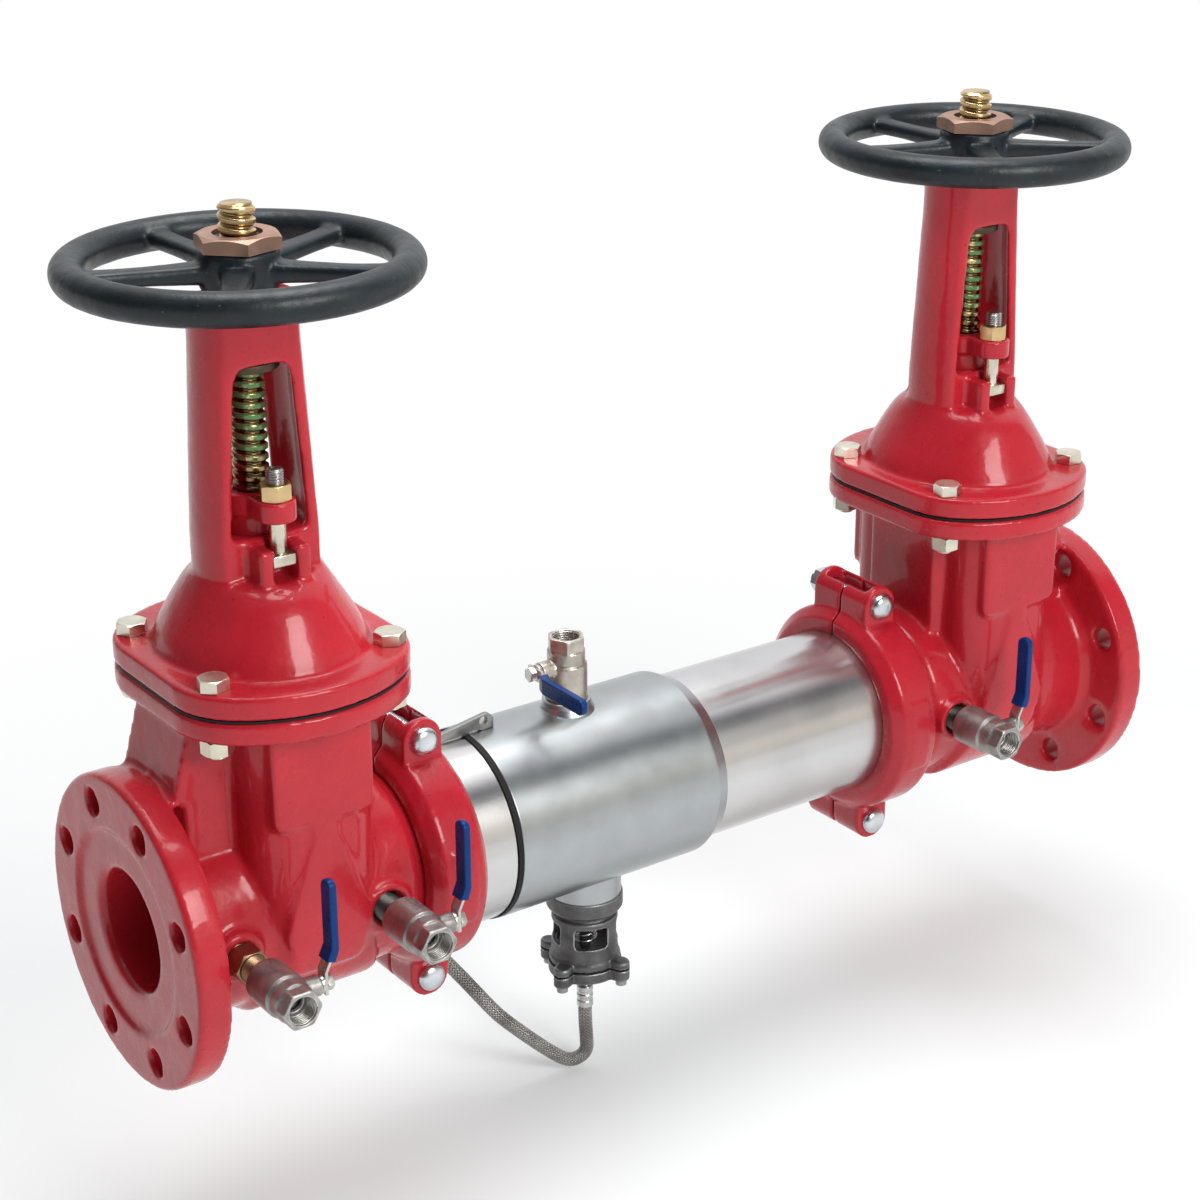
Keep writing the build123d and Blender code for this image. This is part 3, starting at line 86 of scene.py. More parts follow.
# Stems, their wheel nuts, and the bolts of the bonnets, glands and couplings, as the solids have them
STEM_X = {"inlet": 0.1143, "outlet": 0.7427}
STEM_R = 0.012
STEM_FOOT = 0.054
WHEEL_NUT_FLATS = 0.050
WHEEL_NUT_HOLE = 0.016
WHEEL_NUT_FOOT = 0.4498
WHEEL_NUT_TOP = 0.4593
BOLT_FLATS = 0.019
BOLT_R = 0.006
BOLT_HEAD = 0.008
NUT_HEIGHT = 0.0108
JOINT_BOLT_X = 0.065
JOINT_BOLT_Y = 0.058
JOINT_TOP = 0.186
JOINT_FOOT = 0.152
JOINT_BOLT_END = 0.1382
GLAND_BOLT_Y = 0.032
GLAND_TOP = 0.292
TEE_HEAD_Z = 0.252
TEE_HEAD_SIZE = (0.017, 0.017, 0.008, 1)
COUPLING_X = (0.2185, 0.6385)
EAR_Z = 0.093
EAR_FACE = 0.031

# Each test cock's origin, way out of its mouth and way of its lever's stem
COCKS = {
    1: ((0.048, -0.108, 0.0), (0, -1, 0), (1, 0, 0)),
    2: ((0.1613, -0.089, 0.0), (0, -1, 0), (1, 0, 0)),
    3: ((0.361, 0.0, 0.0765), (0, 0, 1), (-1, 0, 0)),
    4: ((0.6857, -0.083, 0.0), (0, -1, 0), (1, 0, 0)),
}
COCK_THREAD_FOOT = 0.0388
NIPPLE_REACH = {1: 0.031, 2: 0.012, 4: 0.006}
NIPPLE_R = 0.0099

# Middle line of the sensing hose, from the relief valve's cover up to the housing
HOSE_ROUTE = [
    (0.376, 0.0, -0.187),
    (0.376, 0.0, -0.200),
    (0.3772, 0.0, -0.215),
    (0.3785, 0.001, -0.231),
    (0.364, 0.0035, -0.236),
    (0.346, 0.007, -0.221),
    (0.326, 0.012, -0.201),
    (0.308, 0.0185, -0.182),
    (0.297, 0.026, -0.1655),
    (0.286, 0.037, -0.148),
    (0.266, 0.053, -0.119),
    (0.256, 0.0575, -0.0996),
    (0.256, 0.0475, -0.08227),
]
HOSE_LENGTH = 0.2600
COVER_PORT = (0.376, 0, -0.1515)
HOUSING_PORT_X = 0.256
HOUSING_PORT_R = 0.0625
HOUSING_PORT_TILT = math.radians(30)

# Brightness of the studio walls by degrees: from level in front, over the top, to level behind
WALLS = {
    0: (0.53, 0.51, 0.48),
    5: (0.72, 0.68, 0.61),
    18: (0.72, 0.68, 0.61),
    25: (0.40, 0.385, 0.355),
    36: (0.35, 0.34, 0.31),
    48: (0.17, 0.172, 0.176),
    60: (0.11, 0.117, 0.125),
    68: (0.34, 0.345, 0.36),
    76: (0.84, 0.845, 0.86),
    110: (0.985, 0.985, 1.0),
    145: (0.87, 0.87, 0.89),
    180: (0.73, 0.735, 0.75),
}


class Graph:
    """Adds nodes to one node tree and wires them."""

    def __init__(self, tree):
        self.tree = tree

    def feed(self, socket, value):
        """Sets an input, or wires another node's output to it."""
        if isinstance(value, bpy.types.NodeSocket):
            self.tree.links.new(value, socket)
        else:
            socket.default_value = value

    def add(self, kind, sockets=None, **settings):
        """A new node with its settings made and its inputs fed, by name or number."""
        node = self.tree.nodes.new(kind)
        for name, value in settings.items():
            setattr(node, name, value)
        for key, value in (sockets or {}).items():
            self.feed(node.inputs[key], value)
        return node

    def math(self, operation, *values):
        """Result of a math node."""
        return self.add("ShaderNodeMath", dict(enumerate(values)), operation=operation).outputs[0]

    def vector(self, operation, *values):
        """Result of a vector math node."""
        return self.add("ShaderNodeVectorMath", dict(enumerate(values)), operation=operation).outputs[0]

    def scaled(self, vector, factor):
        """A vector times a number."""
        node = self.add("ShaderNodeVectorMath", {0: vector, "Scale": factor}, operation="SCALE")
        return node.outputs[0]

    def ranged(self, value, low, high, new_low=0.0, new_high=1.0, soft=False):
        """A value carried from one range to another and kept inside it."""
        kind = "SMOOTHSTEP" if soft else "LINEAR"
        sockets = {0: value, 1: low, 2: high, 3: new_low, 4: new_high}
        return self.add("ShaderNodeMapRange", sockets, interpolation_type=kind).outputs[0]

    def mixed(self, factor, first, second):
        """Two colours mixed by a factor, through the colour sockets of the mix node."""
        node = self.add("ShaderNodeMix", {0: factor, 6: first, 7: second}, data_type="RGBA")
        return node.outputs[2]


class SurfaceGraph(Graph):
    """Graph of a material, with its shader and the patterns that the finishes share."""

    def __init__(self, name):
        self.material = bpy.data.materials.new(name)
        self.material.use_nodes = True
        super().__init__(self.material.node_tree)
        self.shader = self.tree.nodes["Principled BSDF"]
        self.place = self.add("ShaderNodeTexCoord").outputs["Object"]

    def noise(self, scale, detail=2.0, stretch=None):
        """Noise on the piece's own coordinates; scale is in features a metre."""
        place = self.place
        if stretch:
            place = self.add("ShaderNodeMapping", {"Vector": place, "Scale": stretch}).outputs[0]
        sockets = {"Vector": place, "Scale": scale, "Detail": detail}
        return self.add("ShaderNodeTexNoise", sockets).outputs[0]

    def edges(self, low, high):
        """Worn share of outer edges, from 0 to 1."""
        return self.ranged(self.add("ShaderNodeNewGeometry").outputs["Pointiness"], low, high)

    def bump(self, height, distance):
        """Normal from a height, whose whole range stands for that distance."""
        return self.add("ShaderNodeBump", {"Height": height, "Distance": distance}).outputs[0]

    def set(self, **values):
        """Feeds the shader's inputs by name, with _ for a space."""
        for name, value in values.items():
            self.feed(self.shader.inputs[name.replace("_", " ")], value)


def toned(colour, factor):
    """A colour made darker or lighter, as four numbers."""
    return (*[min(1.0, part * factor) for part in colour], 1.0)


def cast_enamel(name, colour, gloss):
    """Thick glossy coating over a casting: faint lumps, orange peel, dust nibs, uneven depth of colour."""
    g = SurfaceGraph(name)
    cloud = g.ranged(g.noise(26, 3), 0.3, 0.7)
    base = g.mixed(cloud, toned(colour, 0.9), toned(colour, 1.05))
    nibs = g.ranged(g.noise(260, 1), 0.745, 0.79, 0, 0.7)
    base = g.mixed(nibs, base, toned(colour, 0.35))
    height = g.math("MULTIPLY_ADD", g.noise(430, 1), 0.14, g.noise(85, 2))
    g.set(Base_Color=base, Roughness=g.ranged(g.noise(60, 2), 0.3, 0.7, gloss, gloss + 0.1))
    g.set(Normal=g.bump(height, 0.0005), Specular_IOR_Level=0.2, Coat_Weight=0.4, Coat_Roughness=0.07)
    return g.material


def satin_enamel(name, colour):
    """Satin paint over a rough casting, greyer where dust lies and hands have rubbed it."""
    g = SurfaceGraph(name)
    cloud = g.ranged(g.noise(34, 4), 0.35, 0.7)
    base = g.mixed(cloud, toned(colour, 0.8), toned(colour, 1.4))
    nibs = g.ranged(g.noise(310, 1), 0.75, 0.8, 0, 0.5)
    base = g.mixed(nibs, base, (0.14, 0.14, 0.13, 1))
    height = g.math("MULTIPLY_ADD", g.noise(520, 1), 0.3, g.noise(120, 3))
    g.set(Base_Color=base, Roughness=g.ranged(g.noise(90, 2), 0.3, 0.7, 0.34, 0.46))
    g.set(Normal=g.bump(height, 0.0004), Specular_IOR_Level=0.4)
    return g.material


def metal(name, colour, rough, spread=0.12, tarnish=0.8, grain=900, depth=0.00002, metallic=1.0):
    """Bare or plated metal: cloudy tarnish, uneven polish and fine grain."""
    g = SurfaceGraph(name)
    cloud = g.ranged(g.noise(55, 3), 0.3, 0.7)
    lines = g.noise(grain, 2)
    g.set(Base_Color=g.mixed(cloud, toned(colour, tarnish), toned(colour, 1.05)), Metallic=metallic)
    polish = g.ranged(g.noise(120, 2), 0.3, 0.7, rough, rough + spread)
    g.set(Roughness=g.math("MULTIPLY_ADD", lines, spread, polish))
    g.set(Normal=g.bump(lines, depth))
    return g.material


def two_tone_stud(name, colour, bare, split):
    """Plated bolt whose threaded end, above a height, is bare steel."""
    g = SurfaceGraph(name)
    height = g.add("ShaderNodeSeparateXYZ", {0: g.place}).outputs[2]
    above = g.ranged(height, split - 0.001, split + 0.001)
    cloud = g.ranged(g.noise(90, 3), 0.3, 0.7)
    plated = g.mixed(cloud, toned(colour, 0.7), toned(colour, 1.05))
    g.set(Base_Color=g.mixed(above, plated, toned(bare, 1)), Metallic=1.0)
    g.set(Roughness=g.ranged(g.noise(300, 2), 0.3, 0.7, 0.2, 0.36), Normal=g.bump(g.noise(900, 2), 0.00002))
    return g.material


def rough_cast_metal(name, colour, edge_colour, rough):
    """Unpainted casting: sandy skin, darker hollows and brighter rubbed edges."""
    g = SurfaceGraph(name)
    cloud = g.ranged(g.noise(90, 3), 0.3, 0.7)
    base = g.mixed(cloud, toned(colour, 0.7), toned(colour, 1.2))
    rubbed = g.edges(0.515, 0.56)
    g.set(Base_Color=g.mixed(rubbed, base, toned(edge_colour, 1)), Metallic=0.9)
    g.set(Roughness=g.ranged(g.noise(400, 2), 0.3, 0.7, rough, rough + 0.18))
    g.set(Normal=g.bump(g.noise(700, 2), 0.00014))
    return g.material


def brushed_tube(name, colour, rough, mottle, stretch):
    """Stainless sheet or tube: long fine brush lines over cloudy pickling marks."""
    g = SurfaceGraph(name)
    lines = g.noise(1.0, 3, stretch)
    cloud = g.ranged(g.noise(mottle, 4), 0.35, 0.65)
    g.set(Base_Color=g.mixed(cloud, toned(colour, 0.94), toned(colour, 1.04)), Metallic=1.0)
    polish = g.ranged(cloud, 0, 1, rough, rough + 0.03)
    g.set(Roughness=g.math("MULTIPLY_ADD", lines, 0.06, polish))
    g.set(Normal=g.bump(g.math("MULTIPLY_ADD", cloud, 0.1, lines), 0.000025))
    around = g.vector("CROSS_PRODUCT", g.add("ShaderNodeNewGeometry").outputs["Normal"], (1, 0, 0))
    g.set(Anisotropic=0.45, Anisotropic_Rotation=0.25, Tangent=around)
    return g.material


def soft_plastic(name, colour, rough, grain):
    """Plastic or rubber with a slightly uneven skin."""
    g = SurfaceGraph(name)
    cloud = g.ranged(g.noise(70, 2), 0.3, 0.7)
    g.set(Base_Color=g.mixed(cloud, toned(colour, 0.88), toned(colour, 1.1)))
    g.set(Roughness=g.ranged(g.noise(220, 2), 0.3, 0.7, rough, rough + 0.12), Specular_IOR_Level=0.2)
    g.set(Normal=g.bump(g.noise(grain, 2), 0.00003))
    return g.material


def greased_thread(name, colour, grease, low, high):
    """Brass thread with grease on its crests between two heights, painted shade in its roots that deepens
    below the upper height, and darker towards and below the lower height.
    """
    g = SurfaceGraph(name)
    ridge = g.add("ShaderNodeAttribute", attribute_name="ridge").outputs["Fac"]
    height = g.add("ShaderNodeSeparateXYZ", {0: g.place}).outputs[2]
    inside = g.math("MULTIPLY", g.ranged(height, low, low + 0.01), g.ranged(height, high, high - 0.004))
    patch = g.ranged(g.noise(150, 3), 0.34, 0.44)
    wet = g.math("MULTIPLY", g.math("MULTIPLY", inside, patch), g.ranged(ridge, 0.5, 0.85, 0, 0.88))
    brass = g.mixed(g.ranged(g.noise(70, 2), 0.3, 0.7), toned(colour, 0.88), toned(colour, 1.08))
    # Painted shade in the thread's roots: weaker above the upper height, stronger below it.
    root_shade_depth = g.ranged(height, high, high - 0.004, 0.55, 0.93)
    # Darker towards and below the lower height.
    foot = g.ranged(height, low + 0.012, low - 0.004, 0, 0.75)
    root_shade_and_foot_dark = g.math("MAXIMUM", g.math("MULTIPLY", g.ranged(ridge, 0.75, 0.15), root_shade_depth), foot)
    # The roots' painted shade and the darkening at the foot, mixed towards near-black brass.
    base = g.mixed(root_shade_and_foot_dark, brass, toned(colour, 0.1))
    g.set(Base_Color=g.mixed(wet, base, toned(grease, 1)), Metallic=g.ranged(wet, 0, 1, 1.0, 0.5))
    g.set(Roughness=g.ranged(g.noise(300, 2), 0.3, 0.7, 0.2, 0.26), Normal=g.bump(g.noise(500, 2), 0.00001))
    return g.material


def finishes():
    """Every finish by the record's slot name."""
    look = bpy.context.scene.backflow_finish
    return {
        "red_epoxy": cast_enamel("red_epoxy_finish", look.body_red, gloss=0.24),
        "coupling_red": cast_enamel("coupling_red_finish", look.coupling_red, gloss=0.22),
        "black_enamel": satin_enamel("black_enamel_finish", look.wheel_black),
        "brass": metal("brass_finish", look.brass, rough=0.2),
        "bronze": metal("bronze_finish", look.bronze, rough=0.36, tarnish=0.78, metallic=0.8),
        "iron_core": soft_plastic("wedge_rubber_finish", (0.03, 0.03, 0.03), rough=0.5, grain=300),
        "yellow_zinc": metal("yellow_zinc_finish", look.yellow_zinc, rough=0.2, tarnish=0.75),
        "bright_zinc": metal("bright_zinc_finish", look.bright_zinc, rough=0.14),
        "stainless": brushed_tube("tube_finish", look.tube_steel, rough=0.2, mottle=18,
                                  stretch=(1400, 14, 14)),
        "sleeve_steel": brushed_tube("sleeve_finish", look.sleeve_steel, rough=0.27, mottle=40,
                                     stretch=(900, 20, 20)),
        "black_rubber": soft_plastic("rubber_finish", (0.012, 0.012, 0.013), rough=0.5, grain=500),
        "check_plastic": soft_plastic("check_plastic_finish", (0.06, 0.06, 0.065), rough=0.4, grain=400),
        "gunmetal": rough_cast_metal("gunmetal_finish", look.gunmetal, (0.42, 0.42, 0.42), rough=0.36),
        "cock_bronze": rough_cast_metal("cock_bronze_finish", look.cock_bronze, (0.62, 0.60, 0.57),
                                        rough=0.34),
        "cock_nickel": rough_cast_metal("cock_nickel_finish", look.cock_nickel, (0.75, 0.71, 0.64),
                                        rough=0.28),
        "lever_steel": metal("lever_steel_finish", look.lever_steel, rough=0.2),
        "grip_blue": soft_plastic("grip_blue_finish", look.grip_blue, rough=0.24, grain=260),
        "hose_braid": metal("hose_core_finish", (0.05, 0.048, 0.045), rough=0.5),
    }


def linked(name, mesh):
    """New object of a mesh, at the origin."""
    piece = bpy.data.objects.new(name, mesh)
    bpy.context.scene.collection.objects.link(piece)
    return piece


def baked(piece):
    """The same object with its modifiers turned into its plain mesh."""
    graph = bpy.context.evaluated_depsgraph_get()
    mesh = bpy.data.meshes.new_from_object(
        piece.evaluated_get(graph), preserve_all_data_layers=True, depsgraph=graph
    )
    piece.modifiers.clear()
    piece.data = mesh
    mesh.name = piece.name
    return piece


def geometry_tree(name, inputs):
    """New geometry node tree with named inputs, from (name, socket kind, default) rows, and its graph."""
    tree = bpy.data.node_groups.new(name, "GeometryNodeTree")
    tree.interface.new_socket("Geometry", in_out="INPUT", socket_type="NodeSocketGeometry")
    tree.interface.new_socket("Geometry", in_out="OUTPUT", socket_type="NodeSocketGeometry")
    for title, kind, default in inputs:
        socket = tree.interface.new_socket(title, in_out="INPUT", socket_type="NodeSocket" + kind)
        if default is not None:
            socket.default_value = default
    graph = Graph(tree)
    given = graph.add("NodeGroupInput").outputs
    return tree, graph, given


def close_tree(graph, geometry, material):
    """Ends a tree: real geometry, smooth faces and its material."""
    solid = graph.add("GeometryNodeRealizeInstances", {0: geometry}).outputs[0]
    smooth = graph.add("GeometryNodeSetShadeSmooth", {0: solid}).outputs[0]
    dressed = graph.add("GeometryNodeSetMaterial", {0: smooth, "Material": material}).outputs[0]
    graph.add("NodeGroupOutput", {0: dressed})


def grown(piece, tree, **values):
    """Runs a tree on a piece with its inputs set by identifier, and keeps the result as a plain mesh."""
    modifier = piece.modifiers.new(tree.name, "NODES")
    modifier.node_group = tree
    for item in tree.interface.items_tree:
        key = item.name.lower().replace(" ", "_")
        if item.in_out == "INPUT" and values.get(key) is not None:
            modifier[item.identifier] = values[key]
    return baked(piece)


def thread_tree():
    """Threaded bar up the Z axis from the origin, with a tapered free end and closed ends."""
    tree, g, given = geometry_tree("Threaded bar", [
        ("Radius", "Float", 0.012),
        ("Depth", "Float", 0.0012),
        ("Pitch", "Float", 0.007),
        ("Length", "Float", 0.1),
        ("Tip", "Float", 0.002),
        ("Crest", "Float", 0.2),
        ("Flank", "Float", 0.14),
        ("Hand", "Float", 1.0),
        ("Sides", "Int", 48),
        ("Steps", "Int", 400),
        ("Per Turn", "Int", 12),
        ("Material", "Material", None),
    ])
    columns = g.math("ADD", given["Sides"], 1)
    rows = g.math("ADD", given["Steps"], 3)
    grid = g.add("GeometryNodeMeshGrid", {0: 1.0, 1: 1.0, 2: columns, 3: rows}).outputs[0]
    place = g.add("ShaderNodeSeparateXYZ", {0: g.add("GeometryNodeInputPosition").outputs[0]}).outputs
    turn = g.math("ADD", place[0], 0.5)
    last = g.math("SUBTRACT", rows, 1)
    row = g.math("MULTIPLY", g.math("ADD", place[1], 0.5), last)
    lead = g.math("MULTIPLY", turn, given["Hand"])
    climbed = g.math("SUBTRACT", g.math("DIVIDE", g.math("SUBTRACT", row, 1), given["Per Turn"]), 1)
    helix = g.math("MULTIPLY", g.math("ADD", climbed, lead), given["Pitch"])
    height = g.math("MINIMUM", g.math("MAXIMUM", helix, 0), given["Length"])
    rise = g.math("SUBTRACT", g.math("DIVIDE", height, given["Pitch"]), lead)
    phase = g.math("FRACT", rise)
    away = g.math("ABSOLUTE", g.math("SUBTRACT", phase, 0.5))
    ridge = g.ranged(away, g.math("ADD", given["Crest"], given["Flank"]), given["Crest"], soft=True)
    cut = g.math("MULTIPLY", given["Depth"], g.math("SUBTRACT", 1.0, ridge))
    left = g.math("SUBTRACT", given["Length"], height)
    taper = g.math("MAXIMUM", g.math("SUBTRACT", given["Tip"], left), 0)
    radius = g.math("SUBTRACT", given["Radius"], g.math("MAXIMUM", cut, taper))
    open_row = g.math("MULTIPLY", g.math("GREATER_THAN", row, 0.5),
                      g.math("LESS_THAN", row, g.math("SUBTRACT", last, 0.5)))
    radius = g.math("MULTIPLY", radius, open_row)
    angle = g.math("MULTIPLY", turn, 2 * math.pi)
    across = g.math("MULTIPLY", radius, g.math("COSINE", angle))
    along = g.math("MULTIPLY", radius, g.math("SINE", angle))
    marked = g.add("GeometryNodeStoreNamedAttribute", {0: grid, "Name": "ridge", "Value": ridge})
    target = g.add("ShaderNodeCombineXYZ", {0: across, 1: along, 2: height}).outputs[0]
    moved = g.add("GeometryNodeSetPosition", {0: marked.outputs[0], "Position": target}).outputs[0]
    closed = g.add("GeometryNodeMergeByDistance", {0: moved, "Distance": 1e-6}).outputs[0]
    close_tree(g, closed, given["Material"])
    return tree


def scatter_tree():
    """One shape set at every vertex of the piece, each copy turned about Z by chance within a spin."""
    tree, g, given = geometry_tree("Set at points", [
        ("Shape", "Object", None),
        ("Spin", "Float", 0.0),
        ("Material", "Material", None),
    ])
    shape = g.add("GeometryNodeObjectInfo", {0: given["Shape"]}).outputs["Geometry"]
    least = g.math("MULTIPLY", given["Spin"], -1.0)
    chance = g.add("FunctionNodeRandomValue", {2: least, 3: given["Spin"], "Seed": 7}, data_type="FLOAT")
    turn = g.add("ShaderNodeCombineXYZ", {2: chance.outputs[1]}).outputs[0]
    sockets = {0: given["Geometry"], "Instance": shape, "Rotation": turn}
    placed = g.add("GeometryNodeInstanceOnPoints", sockets).outputs[0]
    solid = g.add("GeometryNodeRealizeInstances", {0: placed}).outputs[0]
    dressed = g.add("GeometryNodeSetMaterial", {0: solid, "Material": given["Material"]}).outputs[0]
    g.add("NodeGroupOutput", {0: dressed})
    return tree


def coil_tree():
    """Wire wound up the Z axis, as the crests of a thread inside a bore."""
    tree, g, given = geometry_tree("Coil", [
        ("Radius", "Float", 0.01),
        ("Wire", "Float", 0.0006),
        ("Length", "Float", 0.01),
        ("Turns", "Float", 6.0),
        ("Material", "Material", None),
    ])
    line = g.add("GeometryNodeCurveSpiral", {
        "Resolution": 40, "Rotations": given["Turns"], "Start Radius": given["Radius"],
        "End Radius": given["Radius"], "Height": given["Length"]}).outputs[0]
    wire = g.add("GeometryNodeCurvePrimitiveCircle", {"Resolution": 6, "Radius": given["Wire"]}).outputs[0]
    solid = g.add("GeometryNodeCurveToMesh", {0: line, 1: wire, "Fill Caps": True}).outputs[0]
    close_tree(g, solid, given["Material"])
    return tree


def braid_tree():
    """Flat strands that wind one way round a line, going over and under the strands of the other way."""
    tree, g, given = geometry_tree("Braid", [
        ("Radius", "Float", 0.006),
        ("Strands", "Int", 16),
        ("Lay", "Float", 0.038),
        ("Weave", "Float", 0.00015),
        ("Width", "Float", 0.0015),
        ("Thickness", "Float", 0.0003),
        ("Hand", "Float", 1.0),
        ("Points", "Int", 700),
        ("Material", "Material", None),
    ])
    line = g.add("GeometryNodeMeshToCurve", {0: given["Geometry"]}).outputs[0]
    line = g.add("GeometryNodeResampleCurve", {0: line, "Count": given["Points"]}).outputs[0]
    line = g.add("GeometryNodeSetCurveNormal", {0: line}, mode="MINIMUM_TWIST").outputs[0]
    copies = g.add("GeometryNodeDuplicateElements", {0: line, "Amount": given["Strands"]}, domain="SPLINE")
    share = g.math("DIVIDE", copies.outputs[1], given["Strands"])
    turns = g.math("DIVIDE", g.add("GeometryNodeSplineParameter").outputs["Length"], given["Lay"])
    angle = g.math("MULTIPLY", g.math("MULTIPLY_ADD", turns, given["Hand"], share), 2 * math.pi)
    normal = g.add("GeometryNodeInputNormal").outputs[0]
    side = g.vector("CROSS_PRODUCT", g.add("GeometryNodeInputTangent").outputs[0], normal)
    across = g.scaled(normal, g.math("COSINE", angle))
    outward = g.vector("ADD", across, g.scaled(side, g.math("SINE", angle)))
    beat = g.math("MULTIPLY", g.math("MULTIPLY", turns, given["Strands"]), 2 * math.pi)
    lift = g.math("MULTIPLY", g.math("MULTIPLY", g.math("COSINE", beat), given["Hand"]), given["Weave"])
    offset = g.scaled(outward, g.math("ADD", given["Radius"], lift))
    sockets = {0: copies.outputs[0], "Name": "outward", "Value": outward}
    kept = g.add("GeometryNodeStoreNamedAttribute", sockets, data_type="FLOAT_VECTOR",
                 domain="POINT").outputs[0]
    wound = g.add("GeometryNodeSetPosition", {0: kept, "Offset": offset}).outputs[0]
    facing = g.add("GeometryNodeInputNamedAttribute", {"Name": "outward"},
                   data_type="FLOAT_VECTOR").outputs[0]
    wound = g.add("GeometryNodeSetCurveNormal", {0: wound, "Normal": facing}, mode="FREE").outputs[0]
    sockets = {0: given["Thickness"], 1: given["Width"]}
    flat = g.add("GeometryNodeCurvePrimitiveQuadrilateral", sockets).outputs[0]
    strands = g.add("GeometryNodeCurveToMesh", {0: wound, 1: flat, "Fill Caps": True}).outputs[0]
    close_tree(g, strands, given["Material"])
    return tree


def casting_tree():
    """Uneven skin of a sand casting: long low waves and finer lumps along the normals."""
    tree, g, given = geometry_tree("Cast skin", [
        ("Wave Height", "Float", 0.0003),
        ("Wave Size", "Float", 0.03),
        ("Lump Height", "Float", 0.0001),
        ("Lump Size", "Float", 0.008),
        ("Material", "Material", None),
    ])
    place = g.add("GeometryNodeInputPosition").outputs[0]
    offset = None
    for kind in ("Wave", "Lump"):
        scale = g.math("DIVIDE", 1.0, given[kind + " Size"])
        noise = g.add("ShaderNodeTexNoise", {"Vector": place, "Scale": scale, "Detail": 2.0}).outputs[0]
        rise = g.math("MULTIPLY", g.math("SUBTRACT", noise, 0.62), given[kind + " Height"])
        offset = rise if offset is None else g.math("ADD", offset, rise)
    push = g.scaled(g.add("GeometryNodeInputNormal").outputs[0], offset)
    moved = g.add("GeometryNodeSetPosition", {0: given["Geometry"], "Offset": push}).outputs[0]
    close_tree(g, moved, given["Material"])
    return tree


def merged_copy(node):
    """Copy of a CAD node's mesh with its loose triangles joined."""
    work = bmesh.new()
    work.from_mesh(NODES[node].data)
    bmesh.ops.remove_doubles(work, verts=work.verts, dist=2e-6)
    mesh = bpy.data.meshes.new(node + "_merged")
    work.to_mesh(mesh)
    work.free()
    return mesh


def softened(node, name, voxel, passes):
    """Copy of a CAD node with its edges rounded as a casting's or a dipped skin's are."""
    piece = linked(name, merged_copy(node))
    remesh = piece.modifiers.new("Skin", "REMESH")
    remesh.mode = "VOXEL"
    remesh.voxel_size = voxel
    smooth = piece.modifiers.new("Round", "SMOOTH")
    smooth.factor = 0.5
    smooth.iterations = passes
    return piece


def smoothed(mesh, angle):
    """Smooth shading, with creases kept where faces meet at more than an angle in degrees."""
    mesh.shade_smooth()
    mesh.set_sharp_from_angle(angle=math.radians(angle))
    return mesh


def edged(node, width, material):
    """Copy of a CAD node with its sharp edges broken, in place of it."""
    piece = linked(node + "_edged", merged_copy(node))
    bevel = piece.modifiers.new("Edge", "BEVEL")
    bevel.width = width
    bevel.segments = 2
    bevel.limit_method = "ANGLE"
    bevel.angle_limit = math.radians(38)
    baked(piece)
    dressed(smoothed(piece.data, 38), material)
    return stands_for(piece, SLOT_OF[node], node)


def stands_for(piece, slot, *nodes):
    """The piece takes the place and the body of CAD nodes; the slot it is given is not used."""
    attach(piece, BODY_OF[nodes[0]])
    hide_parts(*nodes)
    return piece


def hexagon_r(flats, angle):
    """Radius of a hexagon across its flats at an angle, with a corner at angle 0."""
    return flats / 2 / math.cos(angle % (math.pi / 3) - math.pi / 6)


def spun(name, profile, sides=48, crease=24):
    """Mesh turned about Z from (radius, height) rings; a ring may be a function of the angle."""
    work = bmesh.new()
    rings = []
    for ring in profile:
        points = []
        for step in range(sides):
            angle = 2 * math.pi * step / sides
            radius, height = ring(angle) if callable(ring) else ring
            points.append(work.verts.new((radius * math.cos(angle), radius * math.sin(angle), height)))
        rings.append(points)
    for low, high in zip(rings, rings[1:]):
        for step in range(sides):
            after = (step + 1) % sides
            work.faces.new((low[step], low[after], high[after], high[step]))
    bmesh.ops.remove_doubles(work, verts=work.verts, dist=1e-7)
    bmesh.ops.dissolve_degenerate(work, edges=work.edges, dist=1e-7)
    bmesh.ops.recalc_face_normals(work, faces=work.faces)
    mesh = bpy.data.meshes.new(name)
    work.to_mesh(mesh)
    work.free()
    return smoothed(mesh, crease)


def hex_rings(flats, low, high, hole=0.0, crown_low=False, crown_high=True):
    """Rings of a hexagon head or nut between two heights, crowned by a cone at the ends asked for."""
    flat_r = flats * 0.485
    slope = math.tan(math.radians(27))

    def crown(height, sign):
        def ring(angle):
            radius = hexagon_r(flats, angle)
            return radius, height + sign * max(0.0, radius - flat_r) * slope
        return ring

    def edge(height):
        return lambda angle: (hexagon_r(flats, angle), height)

    rings = [(hole, low)]
    rings += [(flat_r, low), crown(low, 1)] if crown_low else [edge(low)]
    rings += [crown(high, -1), (flat_r, high)] if crown_high else [edge(high)]
    rings += [(hole, high)]
    if hole:
        rings += [(hole, low)]
    return rings


def thread(name, radius, pitch, length, depth, tip, sides=32, per_turn=10, **shape):
    """Threaded bar as a plain mesh up the Z axis."""
    piece = linked(name, bpy.data.meshes.new(name))
    steps = math.ceil(length / pitch * per_turn) + 2 * per_turn
    grown(piece, trees()["thread"], radius=radius, pitch=pitch, length=length, depth=depth, tip=tip,
          sides=sides, steps=steps, per_turn=per_turn, **shape)
    mesh = piece.data
    bpy.data.objects.remove(piece)
    return mesh


def joined(name, parts):
    """One mesh from (mesh, placing matrix) pairs."""
    work = bmesh.new()
    for mesh, place in parts:
        copy = mesh.copy()
        copy.transform(place)
        work.from_mesh(copy)
        bpy.data.meshes.remove(copy)
    mesh = bpy.data.meshes.new(name)
    work.to_mesh(mesh)
    work.free()
    return mesh


